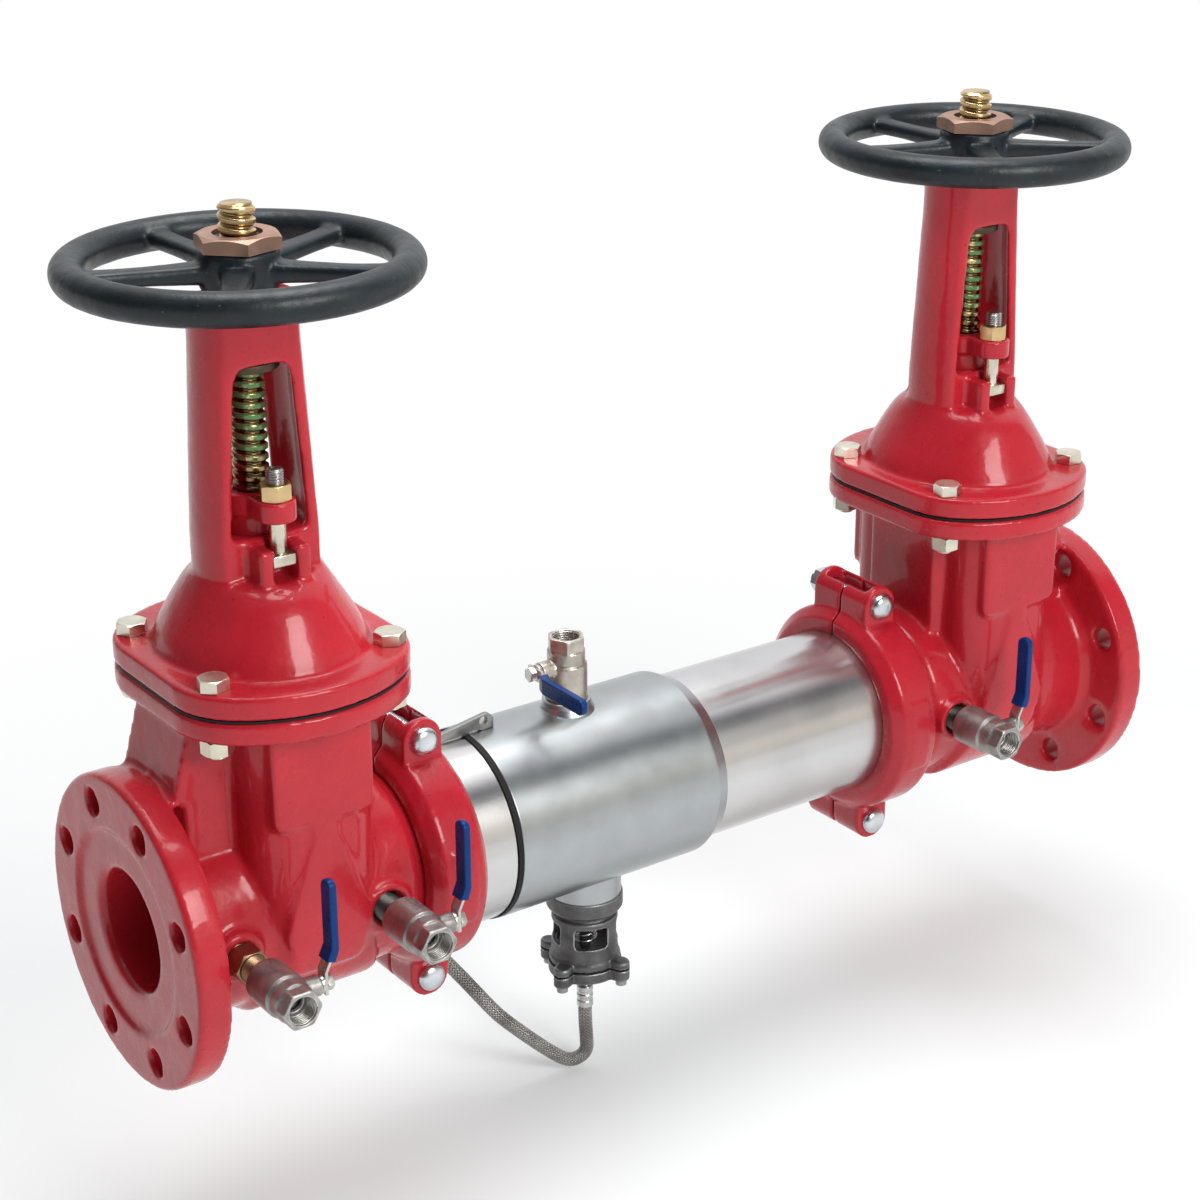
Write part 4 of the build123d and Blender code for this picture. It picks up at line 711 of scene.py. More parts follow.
def dressed(mesh, material):
    """The mesh with one material on every face."""
    mesh.materials.clear()
    mesh.materials.append(material)
    mesh.polygons.foreach_set("material_index", [0] * len(mesh.polygons))
    return mesh


def set_out(name, shape_mesh, places, material, spin=0.0):
    """Copies of a shape at a list of places, as one plain mesh."""
    shape = linked(name + "_shape", shape_mesh)
    points = bpy.data.meshes.new(name)
    points.from_pydata([tuple(place) for place in places], [], [])
    piece = linked(name, points)
    grown(piece, trees()["scatter"], shape=shape, spin=spin, material=material)
    bpy.data.objects.remove(shape)
    return piece


def raised(height):
    """Placing matrix up the Z axis."""
    return Matrix.Translation((0, 0, height))


def hanging(height):
    """Placing matrix that turns a shape upside down below a height."""
    return raised(height) @ Matrix.Rotation(math.pi, 4, "X")


def cock_place(number):
    """Placing matrix of a test cock's own axes: Z out of its mouth, X along its lever's stem."""
    origin, out, across = COCKS[number]
    third = Vector(out).cross(Vector(across))
    axes = Matrix((Vector(across), third, Vector(out))).transposed().to_4x4()
    return Matrix.Translation(origin) @ axes


TREES = {}


def trees():
    """The geometry node trees, made once."""
    if not TREES:
        TREES.update(thread=thread_tree(), scatter=scatter_tree(), coil=coil_tree(), braid=braid_tree(),
                     casting=casting_tree())
    return TREES


FINISHES = {}


def finish_of(slot):
    """Finish of a record's slot; every finish is made at the first call."""
    if not FINISHES:
        FINISHES.update(finishes())
    return FINISHES[slot]


def hose_line():
    """Points along the hose's own smooth line, read from its NURBS spline."""
    bare = bpy.data.objects.new("hose_line", hose_curve("hose_line"))
    mesh = bpy.data.meshes.new_from_object(bare)
    line = [vertex.co.copy() for vertex in mesh.vertices]
    bpy.data.meshes.remove(mesh)
    bpy.data.curves.remove(bare.data)
    return line


def hose_curve(name):
    """The hose's route as a NURBS curve."""
    curve = bpy.data.curves.new(name, "CURVE")
    curve.dimensions = "3D"
    spline = curve.splines.new("NURBS")
    spline.points.add(len(HOSE_ROUTE) - 1)
    for point, place in zip(spline.points, HOSE_ROUTE):
        point.co = (*place, 1.0)
    spline.order_u = 3
    spline.use_endpoint_u = True
    spline.resolution_u = 16
    return curve


class BackflowFinish(bpy.types.PropertyGroup):
    """Colours of the finishes."""

    body_red: FloatVectorProperty(
        name="Body Red", description="Epoxy on valve bodies and bonnets", subtype="COLOR",
        default=(0.50, 0.017, 0.030))
    coupling_red: FloatVectorProperty(
        name="Coupling Red", description="Paint on the couplings", subtype="COLOR",
        default=(0.44, 0.014, 0.027))
    wheel_black: FloatVectorProperty(
        name="Wheel Black", description="Enamel on the handwheels", subtype="COLOR",
        default=(0.006, 0.0115, 0.0155))
    brass: FloatVectorProperty(
        name="Brass", description="Stems and gland nuts", subtype="COLOR",
        default=(0.72, 0.53, 0.27))
    bronze: FloatVectorProperty(
        name="Bronze", description="Wheel nuts", subtype="COLOR",
        default=(0.40, 0.245, 0.18))
    yellow_zinc: FloatVectorProperty(
        name="Yellow Zinc", description="Bolts of the bonnets and glands", subtype="COLOR",
        default=(0.78, 0.735, 0.61))
    bright_zinc: FloatVectorProperty(
        name="Bright Zinc", description="Coupling bolts", subtype="COLOR",
        default=(0.68, 0.71, 0.74))
    tube_steel: FloatVectorProperty(
        name="Tube Steel", description="Housing tube", subtype="COLOR",
        default=(0.62, 0.61, 0.61))
    sleeve_steel: FloatVectorProperty(
        name="Sleeve Steel", description="Access sleeve", subtype="COLOR",
        default=(0.42, 0.445, 0.455))
    lever_steel: FloatVectorProperty(
        name="Lever Steel", description="Test cock levers, balls and mouth threads", subtype="COLOR",
        default=(0.62, 0.61, 0.58))
    gunmetal: FloatVectorProperty(
        name="Gunmetal", description="Relief valve castings", subtype="COLOR",
        default=(0.13, 0.13, 0.132))
    cock_bronze: FloatVectorProperty(
        name="Cock Bronze", description="Side test cocks", subtype="COLOR",
        default=(0.34, 0.325, 0.31))
    cock_nickel: FloatVectorProperty(
        name="Cock Nickel", description="Top test cock", subtype="COLOR",
        default=(0.50, 0.455, 0.40))
    grip_blue: FloatVectorProperty(
        name="Grip Blue", description="Dipped lever grips", subtype="COLOR",
        default=(0.0, 0.032, 0.165))
    grease: FloatVectorProperty(
        name="Grease", description="Grease on the stem threads", subtype="COLOR",
        default=(0.025, 0.17, 0.055))
    braid: FloatVectorProperty(
        name="Braid Wire", description="Wire of the hose's braid", subtype="COLOR",
        default=(0.46, 0.44, 0.42))
    ferrule_steel: FloatVectorProperty(
        name="Ferrule Steel", description="Ferrules and tails of the hose", subtype="COLOR",
        default=(0.62, 0.62, 0.61))
    # Reddish-brown brass: partly the brass's own tone, partly painted reflection of the red bodies.
    nipple_brass: FloatVectorProperty(
        name="Nipple Brass", description="Nipple of the first test cock", subtype="COLOR",
        default=(0.38, 0.245, 0.15))
    nipple_steel: FloatVectorProperty(
        name="Nipple Steel", description="Nipples of the second and fourth test cocks", subtype="COLOR",
        default=(0.16, 0.15, 0.14))
    bar_steel: FloatVectorProperty(
        name="Bar Steel", description="Lock bar on the sleeve", subtype="COLOR",
        default=(0.36, 0.36, 0.345))
    oily_bronze: FloatVectorProperty(
        name="Oily Bronze", description="Stem nuts in the yokes", subtype="COLOR",
        default=(0.10, 0.07, 0.05))


class BackflowCasting(bpy.types.PropertyGroup):
    """How the castings' skins are made."""

    body_step: FloatProperty(
        name="Body Step", description="Mesh step of the valve bodies", unit="LENGTH", default=0.0026)
    bonnet_step: FloatProperty(
        name="Bonnet Step", description="Mesh step of the bonnets", unit="LENGTH", default=0.0019)
    coupling_step: FloatProperty(
        name="Coupling Step", description="Mesh step of the couplings", unit="LENGTH", default=0.0016)
    wheel_step: FloatProperty(
        name="Wheel Step", description="Mesh step of the handwheels", unit="LENGTH", default=0.0016)
    cock_step: FloatProperty(
        name="Cock Step", description="Mesh step of the test cocks", unit="LENGTH", default=0.0007)
    grip_step: FloatProperty(
        name="Grip Step", description="Mesh step of the lever grips", unit="LENGTH", default=0.00055)
    relief_step: FloatProperty(
        name="Relief Step", description="Mesh step of the relief valve's castings", unit="LENGTH",
        default=0.0009)
    wave: FloatProperty(
        name="Wave", description="Height of a large casting's waves", unit="LENGTH", default=0.0006)
    broken_edge: FloatProperty(
        name="Broken Edge", description="Width of a machined piece's broken edge", unit="LENGTH",
        default=0.0004)


class BackflowHose(bpy.types.PropertyGroup):
    """Sizes of the sensing hose."""

    diameter: FloatProperty(
        name="Diameter", description="Outside of the braid", unit="LENGTH", default=0.0104)
    strands: IntProperty(
        name="Strands", description="Strands wound each way", default=12)
    lay: FloatProperty(
        name="Lay", description="Length of one turn of a strand", unit="LENGTH", default=0.034)
    width: FloatProperty(
        name="Width", description="Width of a strand", unit="LENGTH", default=0.0012)
    thickness: FloatProperty(
        name="Thickness", description="Thickness of a strand", unit="LENGTH", default=0.0004)


class BackflowThreads(bpy.types.PropertyGroup):
    """Sizes of the threads."""

    stem_lead: FloatProperty(
        name="Stem Lead", description="Rise of the stem thread a turn", unit="LENGTH", default=0.007)
    stem_depth: FloatProperty(
        name="Stem Depth", description="Depth of the stem thread", unit="LENGTH", default=0.002)
    stem_start: FloatProperty(
        name="Stem Thread Start", description="Height where the stem's thread begins", unit="LENGTH",
        default=0.287)
    stem_top: FloatProperty(
        name="Stem Top", description="Height of the stem's end", unit="LENGTH", default=0.4778)
    bolt_pitch: FloatProperty(
        name="Bolt Pitch", description="Pitch of the M12 threads", unit="LENGTH", default=0.00175)
    bolt_depth: FloatProperty(
        name="Bolt Depth", description="Depth of the M12 threads", unit="LENGTH", default=0.001)


class BackflowStudio(bpy.types.PropertyGroup):
    """Floor, lamps and surroundings."""

    floor_gap: FloatProperty(
        name="Floor Gap", description="Floor below the lowest piece", unit="LENGTH", default=0.002)
    key_power: FloatProperty(
        name="Key Power", description="Lamp in front", unit="POWER", default=34.0)
    top_power: FloatProperty(
        name="Top Power", description="Lamp overhead", unit="POWER", default=30.0)
    sky: FloatProperty(
        name="Surroundings", description="Strength of the studio walls", default=1.2)
    floor_paint: FloatVectorProperty(
        name="Floor Paint", description="Colour of the floor near the object", subtype="COLOR",
        default=(0.815, 0.84, 0.84))


class BACKFLOW_OT_studio(bpy.types.Operator):
    """Camera at the photograph's place, pale floor, soft lamps and studio walls"""

    bl_idname = "backflow.studio"
    bl_label = "Studio"

    def execute(self, context):
        studio = context.scene.backflow_studio
        context.scene.view_settings.view_transform = "Standard"
        self.camera(context)
        self.floor(CAD_BOX[0].z - studio.floor_gap, studio.floor_paint)
        self.lamp("key", place=(0.5, -2.05, 1.35), size=1.0, power=studio.key_power)
        self.lamp("top", place=(0.5, 0.15, 2.1), size=1.2, power=studio.top_power)
        self.walls(context, studio.sky)
        return {"FINISHED"}

    def camera(self, context):
        """Camera with the photograph's place, turn and lens."""
        forward = Vector((math.sin(CAMERA_YAW) * math.cos(CAMERA_PITCH),
                          math.cos(CAMERA_YAW) * math.cos(CAMERA_PITCH), -math.sin(CAMERA_PITCH)))
        level = Vector((math.cos(CAMERA_YAW), -math.sin(CAMERA_YAW), 0))
        over = level.cross(forward)
        right = level * math.cos(CAMERA_ROLL) + over * math.sin(CAMERA_ROLL)
        up = over * math.cos(CAMERA_ROLL) - level * math.sin(CAMERA_ROLL)
        data = bpy.data.cameras.new("camera")
        data.lens = CAMERA_LENS
        data.sensor_width = CAMERA_SENSOR
        camera = linked("camera", data)
        axes = Matrix((right, up, -forward)).transposed().to_4x4()
        camera.matrix_world = Matrix.Translation(CAMERA_PLACE) @ axes
        context.scene.camera = camera

    def lamp(self, name, place, size, power):
        """Soft square lamp aimed at the middle of the object."""
        data = bpy.data.lights.new(name, "AREA")
        data.size = size
        data.energy = power
        lamp = linked(name, data)
        middle = (CAD_BOX[0] + CAD_BOX[1]) / 2
        turn = (Vector(place) - middle).to_track_quat("Z", "Y")
        lamp.matrix_world = Matrix.Translation(place) @ turn.to_matrix().to_4x4()

    def floor(self, height, colour):
        """Pale floor, white to the camera and in reflections, that keeps the shadow near the object."""
        half, near, far = 20.0, 0.45, 1.15
        mesh = bpy.data.meshes.new("floor")
        corners = [(x * half, y * half, height) for x, y in ((-1, -1), (1, -1), (1, 1), (-1, 1))]
        mesh.from_pydata(corners, [], [(0, 1, 2, 3)])
        floor = linked("floor", mesh)
        material = bpy.data.materials.new("floor_finish")
        material.use_nodes = True
        g = Graph(material.node_tree)
        g.tree.nodes.clear()
        middle = (CAD_BOX[0] + CAD_BOX[1]) / 2
        place = g.add("ShaderNodeTexCoord").outputs["Object"]
        away = g.add("ShaderNodeVectorMath", {0: place, 1: (middle.x, middle.y, height)},
                     operation="DISTANCE").outputs["Value"]
        ray = g.add("ShaderNodeLightPath").outputs
        seen = g.math("MAXIMUM", ray["Is Camera Ray"],
                      g.math("MAXIMUM", ray["Is Glossy Ray"], ray["Is Transmission Ray"]))
        share = g.math("MULTIPLY", seen, g.ranged(away, near, far, 0.2, 1.0, soft=True))
        paint = g.add("ShaderNodeBsdfDiffuse", {"Color": (*colour, 1)}).outputs[0]
        white = g.add("ShaderNodeEmission", {"Strength": 1.0}).outputs[0]
        both = g.add("ShaderNodeMixShader", {0: share, 1: paint, 2: white}).outputs[0]
        g.add("ShaderNodeOutputMaterial", {"Surface": both})
        mesh.materials.append(material)
        floor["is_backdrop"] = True

    def walls(self, context, strength):
        """World as studio walls: a bright ceiling from overhead to behind, a dark gap above the camera, a
        warm strip low in front, and less of all that at the left. The camera itself sees white."""
        world = bpy.data.worlds.new("studio_walls")
        world.use_nodes = True
        context.scene.world = world
        g = Graph(world.node_tree)
        g.tree.nodes.clear()
        way = g.add("ShaderNodeSeparateXYZ", {0: g.add("ShaderNodeTexCoord").outputs["Generated"]}).outputs
        lean = g.math("ARCTAN2", way[2], g.math("MULTIPLY", way[1], -1.0))
        ramp = g.add("ShaderNodeValToRGB", {0: g.ranged(lean, 0.0, math.pi)})
        stops = ramp.color_ramp.elements
        stops.remove(stops[1])
        for degrees, colour in WALLS.items():
            stop = stops.new(degrees / 180) if degrees else stops[0]
            stop.color = (*colour, 1)
        side = g.ranged(way[0], -0.75, 0.3, 0.12, 1.0, soft=True)
        lit = g.add("ShaderNodeMix", {0: 1.0, 6: ramp.outputs[0], 7: side}, data_type="RGBA",
                    blend_type="MULTIPLY").outputs[2]
        back = g.add("ShaderNodeBackground", {"Color": lit, "Strength": strength}).outputs[0]
        white = g.add("ShaderNodeBackground", {"Color": (1, 1, 1, 1), "Strength": 1.0}).outputs[0]
        seen = g.add("ShaderNodeLightPath").outputs["Is Camera Ray"]
        both = g.add("ShaderNodeMixShader", {0: seen, 1: back, 2: white}).outputs[0]
        g.add("ShaderNodeOutputWorld", {"Surface": both})


class BACKFLOW_OT_finishes(bpy.types.Operator):
    """Gives every CAD node the finish of its slot"""

    bl_idname = "backflow.finishes"
    bl_label = "Finishes"

    def execute(self, context):
        for node, piece in NODES.items():
            finish = finish_of(SLOT_OF[node])
            for slot in piece.material_slots:
                slot.material = finish
        return {"FINISHED"}


class BACKFLOW_OT_hose(bpy.types.Operator):
    """Sensing hose: smooth core, braid wound both ways, and crimped ferrules with their hexagons"""

    bl_idname = "backflow.hose"
    bl_label = "Sensing Hose"

    def execute(self, context):
        hose = context.scene.backflow_hose
        core = linked("sensing_hose_core", hose_curve("sensing_hose_core"))
        core.data.bevel_depth = hose.diameter / 2 - hose.thickness / 2
        core.data.bevel_resolution = 6
        core.data.use_fill_caps = True
        core.data.materials.append(finish_of("hose_braid"))
        stands_for(core, "hose_braid", "sensing_hose")
        look = context.scene.backflow_finish
        wire = metal("braid_wire_finish", look.braid, rough=0.3, tarnish=0.6)
        strands = [self.strands(hose, hand, wire) for hand in (-1.0, 1.0)]
        ends = self.ferrules(metal("ferrule_finish", look.ferrule_steel, rough=0.2))
        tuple(HOSE_ROUTE[0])
        return {"FINISHED"}

    def strands(self, hose, hand, wire):
        """The strands of one hand, along points read from the hose's own smooth line."""
        line = hose_line()
        name = "hose_braid_left" if hand < 0 else "hose_braid_right"
        mesh = bpy.data.meshes.new(name)
        mesh.from_pydata(line, [(i, i + 1) for i in range(len(line) - 1)], [])
        piece = linked(name, mesh)
        crossings = HOSE_LENGTH / hose.lay * 2 * hose.strands
        grown(piece, trees()["braid"], radius=hose.diameter / 2 - hose.thickness / 2, strands=hose.strands,
              lay=hose.lay, weave=hose.thickness / 2, width=hose.width, thickness=hose.thickness, hand=hand,
              points=round(crossings * 3), material=wire)
        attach(piece, BODY_OF["sensing_hose"])
        return piece

    def ferrules(self, steel):
        """Both threaded tails with their hexagons and crimped ferrules."""
        tilt = HOUSING_PORT_TILT
        foot = (HOUSING_PORT_X, HOUSING_PORT_R * math.sin(tilt), -HOUSING_PORT_R * math.cos(tilt))
        cover = Matrix.Translation(COVER_PORT) @ Matrix.Rotation(math.pi, 4, "X")
        port = Matrix.Translation(foot) @ Matrix.Rotation(math.pi + tilt, 4, "X")
        mesh = joined("hose_ferrules", [
            (self.ferrule("cover_ferrule", hexagon=0.0050, shoulder=0.0170, end=0.0355), cover),
            (self.ferrule("port_ferrule", hexagon=0.0085, shoulder=0.0175, end=0.0325), port),
        ])
        piece = linked("hose_ferrules", dressed(mesh, steel))
        return stands_for(piece, SLOT_OF["hose_fittings"], "hose_fittings")

    def ferrule(self, name, hexagon, shoulder, end):
        """Tail, hexagon and ferrule with two crimped bands, up the Z axis."""
        flats, deep, tail_r, neck_r = 0.012, 0.006, 0.0039, 0.0042
        ferrule_r, rim_r, rim, crimp_r = 0.0064, 0.0058, 0.0008, 0.0059
        rings = [(0, 0), (tail_r, 0), (tail_r, hexagon)]
        rings += hex_rings(flats, hexagon, hexagon + deep, tail_r, crown_low=True)[1:-1]
        rings += [(neck_r, shoulder), (rim_r, shoulder), (ferrule_r, shoulder + rim)]
        for share in (0.32, 0.62):
            middle = shoulder + (end - shoulder) * share
            rings += [(ferrule_r, middle - 0.0018), (crimp_r, middle - 0.0010), (crimp_r, middle + 0.0010),
                      (ferrule_r, middle + 0.0018)]
        rings += [(ferrule_r, end - rim), (rim_r, end), (0, end)]
        return spun(name, rings)


class BACKFLOW_OT_castings(bpy.types.Operator):
    """Castings with rounded edges and the uneven skin of sand casting"""

    bl_idname = "backflow.castings"
    bl_label = "Castings"

    def execute(self, context):
        size = context.scene.backflow_casting
        for end in ("inlet", "outlet"):
            cast(end + "_valve_body", size.body_step, passes=4, wave=size.wave)
            cast(end + "_bonnet", size.bonnet_step, passes=7, wave=size.wave)
            cast(end + "_gland", size.cock_step * 2, passes=4, wave=size.wave / 4)
            for half in ("front", "rear"):
                cast(end + "_coupling_" + half, size.coupling_step, passes=4, wave=size.wave / 3)
        for node in ("relief_collar", "relief_cage", "relief_cover"):
            cast(node, size.relief_step, passes=2, wave=size.wave / 6)
        return {"FINISHED"}


class BACKFLOW_OT_handwheels(bpy.types.Operator):
    """Handwheels with softened spokes, and their crowned bronze nuts"""

    bl_idname = "backflow.handwheels"
    bl_label = "Handwheels"

    def execute(self, context):
        size = context.scene.backflow_casting
        for end in ("inlet", "outlet"):
            cast(end + "_handwheel", size.wheel_step, passes=7, wave=size.wave / 2)
            rings = hex_rings(WHEEL_NUT_FLATS, WHEEL_NUT_FOOT, WHEEL_NUT_TOP, WHEEL_NUT_HOLE)
            place = Matrix.Translation((STEM_X[end], 0, 0)) @ Matrix.Rotation(math.radians(15), 4, "Z")
            mesh = joined(end + "_wheel_nut_dressed", [(spun("wheel_nut", rings, sides=96), place)])
            nut = linked(end + "_wheel_nut_dressed", dressed(mesh, finish_of("bronze")))
            stands_for(nut, SLOT_OF[end + "_wheel_nut"], end + "_wheel_nut")
        return {"FINISHED"}


class BACKFLOW_OT_stems(bpy.types.Operator):
    """Rising stems with their left-handed thread, greased where they show in the yoke"""

    bl_idname = "backflow.stems"
    bl_label = "Stems"

    def execute(self, context):
        size = context.scene.backflow_threads
        look = context.scene.backflow_finish
        finish = greased_thread("stem_finish", look.brass, look.grease, low=0.306, high=0.41)
        start, neck = size.stem_start, 0.0022
        threaded = thread("stem_thread", STEM_R, size.stem_lead, size.stem_top - start, size.stem_depth,
                          tip=0.002, sides=64, per_turn=16, hand=-1.0, crest=0.17, flank=0.27)
        shank = spun("stem_shank", [(0, STEM_FOOT), (STEM_R, STEM_FOOT), (STEM_R, start),
                                    (STEM_R - neck, start + neck), (0, start + neck)])
        for end, x in STEM_X.items():
            mesh = joined(end + "_stem_dressed", [
                (threaded, Matrix.Translation((x, 0, start))),
                (shank, Matrix.Translation((x, 0, 0))),
            ])
            piece = linked(end + "_stem_dressed", dressed(mesh, finish))
            stands_for(piece, SLOT_OF[end + "_stem"], end + "_stem")
        return {"FINISHED"}


class BACKFLOW_OT_fasteners(bpy.types.Operator):
    """Threaded bolts and crowned nuts of the bonnets, glands and couplings"""

    bl_idname = "backflow.fasteners"
    bl_label = "Bolts and Nuts"

    def execute(self, context):
        look = context.scene.backflow_finish
        stems = STEM_X.values()
        corners = [(x + dx, dy, 0) for x in stems for dx in (-JOINT_BOLT_X, JOINT_BOLT_X)
                   for dy in (-JOINT_BOLT_Y, JOINT_BOLT_Y)]
        sides = [(x, dy, 0) for x in stems for dy in (-GLAND_BOLT_Y, GLAND_BOLT_Y)]
        ears = [(x, 0, z) for x in COUPLING_X for z in (-EAR_Z, EAR_Z)]
        tee = two_tone_stud("gland_stud_finish", look.yellow_zinc, bare=(0.42, 0.41, 0.40), split=0.300)
        bolt_spin, nut_spin = math.radians(30), math.radians(20)
        self.fastened("bonnet_bolts", self.bonnet_bolt(), corners, finish_of("yellow_zinc"), bolt_spin)
        self.fastened("gland_bolts", self.gland_bolt(), sides, tee)
        self.fastened("gland_nuts", self.nut("gland_nut", GLAND_TOP), sides, finish_of("brass"), nut_spin)
        self.fastened("coupling_bolts", self.coupling_bolt(), ears, finish_of("bright_zinc"))
        return {"FINISHED"}

    def fastened(self, node, shape, places, material, spin=0.0):
        """A set of like fasteners in place of their CAD node."""
        piece = set_out(node + "_dressed", shape, places, material, spin)
        stands_for(piece, SLOT_OF[node], node)

    def bolt_thread(self, length, tip=0.001):
        """Length of M12 thread up the Z axis."""
        size = bpy.context.scene.backflow_threads
        return thread("bolt_thread", BOLT_R, size.bolt_pitch, length, size.bolt_depth, tip, sides=24,
                      per_turn=6, crest=0.08, flank=0.4)

    def shank(self, name, radius, low, high):
        """Plain round shank between two heights."""
        return spun(name, [(0, low), (radius, low), (radius, high), (0, high)], sides=24)

    def nut(self, name, foot):
        """M12 nut above a height, crowned at both ends."""
        return spun(name, hex_rings(BOLT_FLATS, foot, foot + NUT_HEIGHT, BOLT_R, crown_low=True))

    def bonnet_bolt(self):
        """Hexagon bolt down through the joint, with its nut and threaded tail."""
        head = spun("bolt_head", hex_rings(BOLT_FLATS, JOINT_TOP, JOINT_TOP + BOLT_HEAD))
        shank = self.shank("bolt_shank", BOLT_R, low=JOINT_FOOT, high=JOINT_TOP)
        nut = self.nut("bolt_nut", JOINT_FOOT - NUT_HEIGHT)
        turned = Matrix.Rotation(math.radians(25), 4, "Z")
        tail = self.bolt_thread(JOINT_FOOT - JOINT_BOLT_END)
        return joined("bonnet_bolt", [
            (head, Matrix()), (shank, Matrix()), (nut, turned), (tail, hanging(JOINT_FOOT)),
        ])

    def gland_bolt(self):
        """T-headed bolt of a gland, threaded at its top."""
        work = bmesh.new()
        place = raised(TEE_HEAD_Z) @ Matrix.Diagonal(TEE_HEAD_SIZE)
        bmesh.ops.create_cube(work, size=1.0, matrix=place)
        bmesh.ops.bevel(work, geom=work.edges[:], offset=0.0012, segments=2, profile=0.5, affect="EDGES")
        head = bpy.data.meshes.new("tee_head")
        work.to_mesh(head)
        work.free()
        shank = self.shank("tee_shank", radius=0.0056, low=0.2555, high=0.2885)
        end = self.bolt_thread(length=0.0248)
        return joined("gland_bolt", [(smoothed(head, 40), Matrix()), (shank, Matrix()), (end, raised(0.288))])

    def coupling_bolt(self):
        """Round-headed track bolt, its head to the front and its nut at the back."""
        head = spun("track_head", [
            (0, -EAR_FACE), (0.0105, -EAR_FACE), (0.0105, -0.0325), (0.0100, -0.0345), (0.0086, -0.0362),
            (0.0062, -0.0374), (0.0032, -0.0379), (0, -0.038),
        ], crease=50)
        neck = self.shank("track_neck", BOLT_R, low=-EAR_FACE, high=-0.0235)
        nut = self.nut("track_nut", EAR_FACE)
        rod = self.bolt_thread(length=0.071)
        bolt = joined("track_bolt", [
            (head, Matrix()), (neck, Matrix()), (nut, Matrix()), (rod, raised(-0.024)),
        ])
        bolt.transform(Matrix.Rotation(-math.pi / 2, 4, "X"))
        return bolt


class BACKFLOW_OT_test_cocks(bpy.types.Operator):
    """Test cocks: softened bodies, threaded mouths, broken-edged levers, dipped grips and nipples"""

    bl_idname = "backflow.test_cocks"
    bl_label = "Test Cocks"

    def execute(self, context):
        size = context.scene.backflow_casting
        for number in COCKS:
            cast(f"cock_{number}_body", size.cock_step, passes=2, wave=size.wave / 8)
            cast(f"cock_{number}_grip", size.grip_step, passes=14, wave=0)
            edged(f"cock_{number}_lever", size.broken_edge, finish_of("lever_steel"))
            self.mouth(number)
        self.nipples()
        return {"FINISHED"}

    def mouth(self, number):
        """Crests of the thread inside a test cock's mouth."""
        name, body = f"cock_{number}_thread", f"cock_{number}_body"
        piece = linked(name, bpy.data.meshes.new(name))
        grown(piece, trees()["coil"], radius=0.0101, wire=0.0006, length=0.0105, turns=6.0,
              material=finish_of("lever_steel"))
        piece.data.transform(cock_place(number) @ raised(COCK_THREAD_FOOT))
        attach(piece, BODY_OF[body])

    def nipples(self):
        """Threaded nipples of the side cocks: the first of brass with a hexagon, the others dark steel."""
        look = bpy.context.scene.backflow_finish
        # The nipple brass colour holds a painted reflection of the red bodies in its reddish tone.
        brass = metal("nipple_brass_finish", look.nipple_brass, rough=0.26, tarnish=0.5)
        steel = metal("nipple_steel_finish", look.nipple_steel, rough=0.3, tarnish=0.5)
        rings = hex_rings(flats=0.022, low=-0.031, high=-0.015, hole=0.0085, crown_low=True)
        mesh = joined("cock_nipple_1", [self.nipple(1), (spun("nipple_hexagon", rings), cock_place(1))])
        piece = linked("cock_nipple_1", dressed(mesh, brass))
        stands_for(piece, SLOT_OF["cock_nipples"], "cock_nipples")
        mesh = joined("cock_nipples_2_4", [self.nipple(2), self.nipple(4)])
        others = linked("cock_nipples_2_4", dressed(mesh, steel))
        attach(others, BODY_OF["cock_nipples"])

    def nipple(self, number):
        """Threaded bar of a side cock's nipple, and its place."""
        foot, end = -NIPPLE_REACH[number] - 0.012, 0.011
        bar = thread("nipple_thread", NIPPLE_R, pitch=0.0018, length=end - foot, depth=0.0011, tip=0.0006,
                     sides=40, per_turn=7, crest=0.1, flank=0.36)
        return bar, cock_place(number) @ raised(foot)


class BACKFLOW_OT_machined(bpy.types.Operator):
    """Flat and turned steel pieces with their edges broken"""

    bl_idname = "backflow.machined"
    bl_label = "Machined Pieces"

    def execute(self, context):
        edge = context.scene.backflow_casting.broken_edge
        look = context.scene.backflow_finish
        edged("lock_bar", edge, metal("lock_bar_finish", look.bar_steel, rough=0.34, grain=400))
        edged("relief_screws", edge, finish_of(SLOT_OF["relief_screws"]))
        oily = metal("stem_nut_finish", look.oily_bronze, rough=0.35)
        for end in ("inlet", "outlet"):
            edged(end + "_stem_nut", edge, oily)
        return {"FINISHED"}


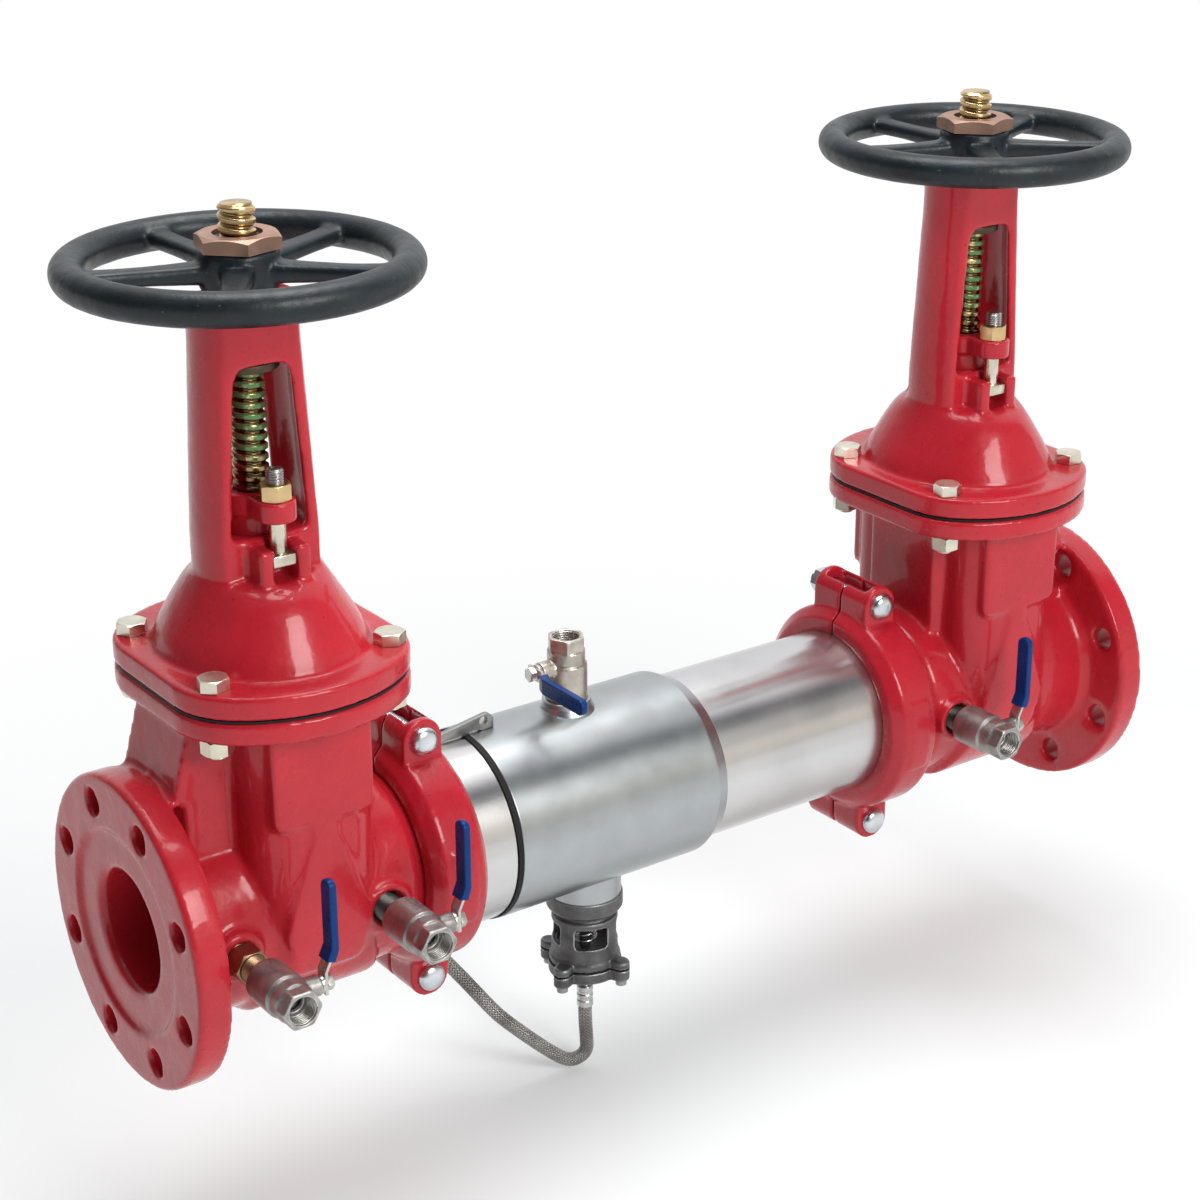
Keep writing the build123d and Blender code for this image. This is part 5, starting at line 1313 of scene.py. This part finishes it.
def cast(node, step, passes, wave):
    """One softened casting in place of its CAD node."""
    slot = SLOT_OF[node]
    piece = softened(node, node + "_casting", step, passes)
    grown(piece, trees()["casting"], wave_height=wave, wave_size=step * 14, lump_height=wave / 4,
          lump_size=step * 4, material=finish_of(slot))
    stands_for(piece, slot, node)


class BACKFLOW_PT_looks(bpy.types.Panel):
    """Lists the steps and their settings"""

    bl_label = "Backflow Preventer"
    bl_idname = "BACKFLOW_PT_looks"
    bl_space_type = "VIEW_3D"
    bl_region_type = "UI"
    bl_category = "Backflow"

    def draw(self, context):
        for step in STEPS:
            self.layout.operator(step.bl_idname)
        for name in GROUPS:
            settings = getattr(context.scene, name)
            box = self.layout.box()
            for key in settings.__annotations__:
                box.prop(settings, key)


GROUPS = {
    "backflow_finish": BackflowFinish,
    "backflow_casting": BackflowCasting,
    "backflow_hose": BackflowHose,
    "backflow_threads": BackflowThreads,
    "backflow_studio": BackflowStudio,
}
STEPS = [
    BACKFLOW_OT_studio,
    BACKFLOW_OT_hose,
    BACKFLOW_OT_finishes,
    BACKFLOW_OT_castings,
    BACKFLOW_OT_handwheels,
    BACKFLOW_OT_stems,
    BACKFLOW_OT_fasteners,
    BACKFLOW_OT_test_cocks,
    BACKFLOW_OT_machined,
]


def register():
    """Adds the classes and the scene's settings."""
    for item in [*GROUPS.values(), *STEPS, BACKFLOW_PT_looks]:
        bpy.utils.register_class(item)
    for name, group in GROUPS.items():
        setattr(bpy.types.Scene, name, PointerProperty(type=group))


def unregister():
    """Takes the classes and the scene's settings away."""
    for name in GROUPS:
        delattr(bpy.types.Scene, name)
    for item in [BACKFLOW_PT_looks, *reversed(STEPS), *reversed(GROUPS.values())]:
        bpy.utils.unregister_class(item)


def main():
    """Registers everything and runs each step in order."""
    register()
    for step in STEPS:
        name = step.bl_idname.split(".")[1]
        getattr(bpy.ops.backflow, name)()
    boxes = {"cad": CAD_BOX, "visual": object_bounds()}
    sizes = {name: [list(corner) for corner in box] for name, box in boxes.items()}


if __name__ == "__main__":
    main()
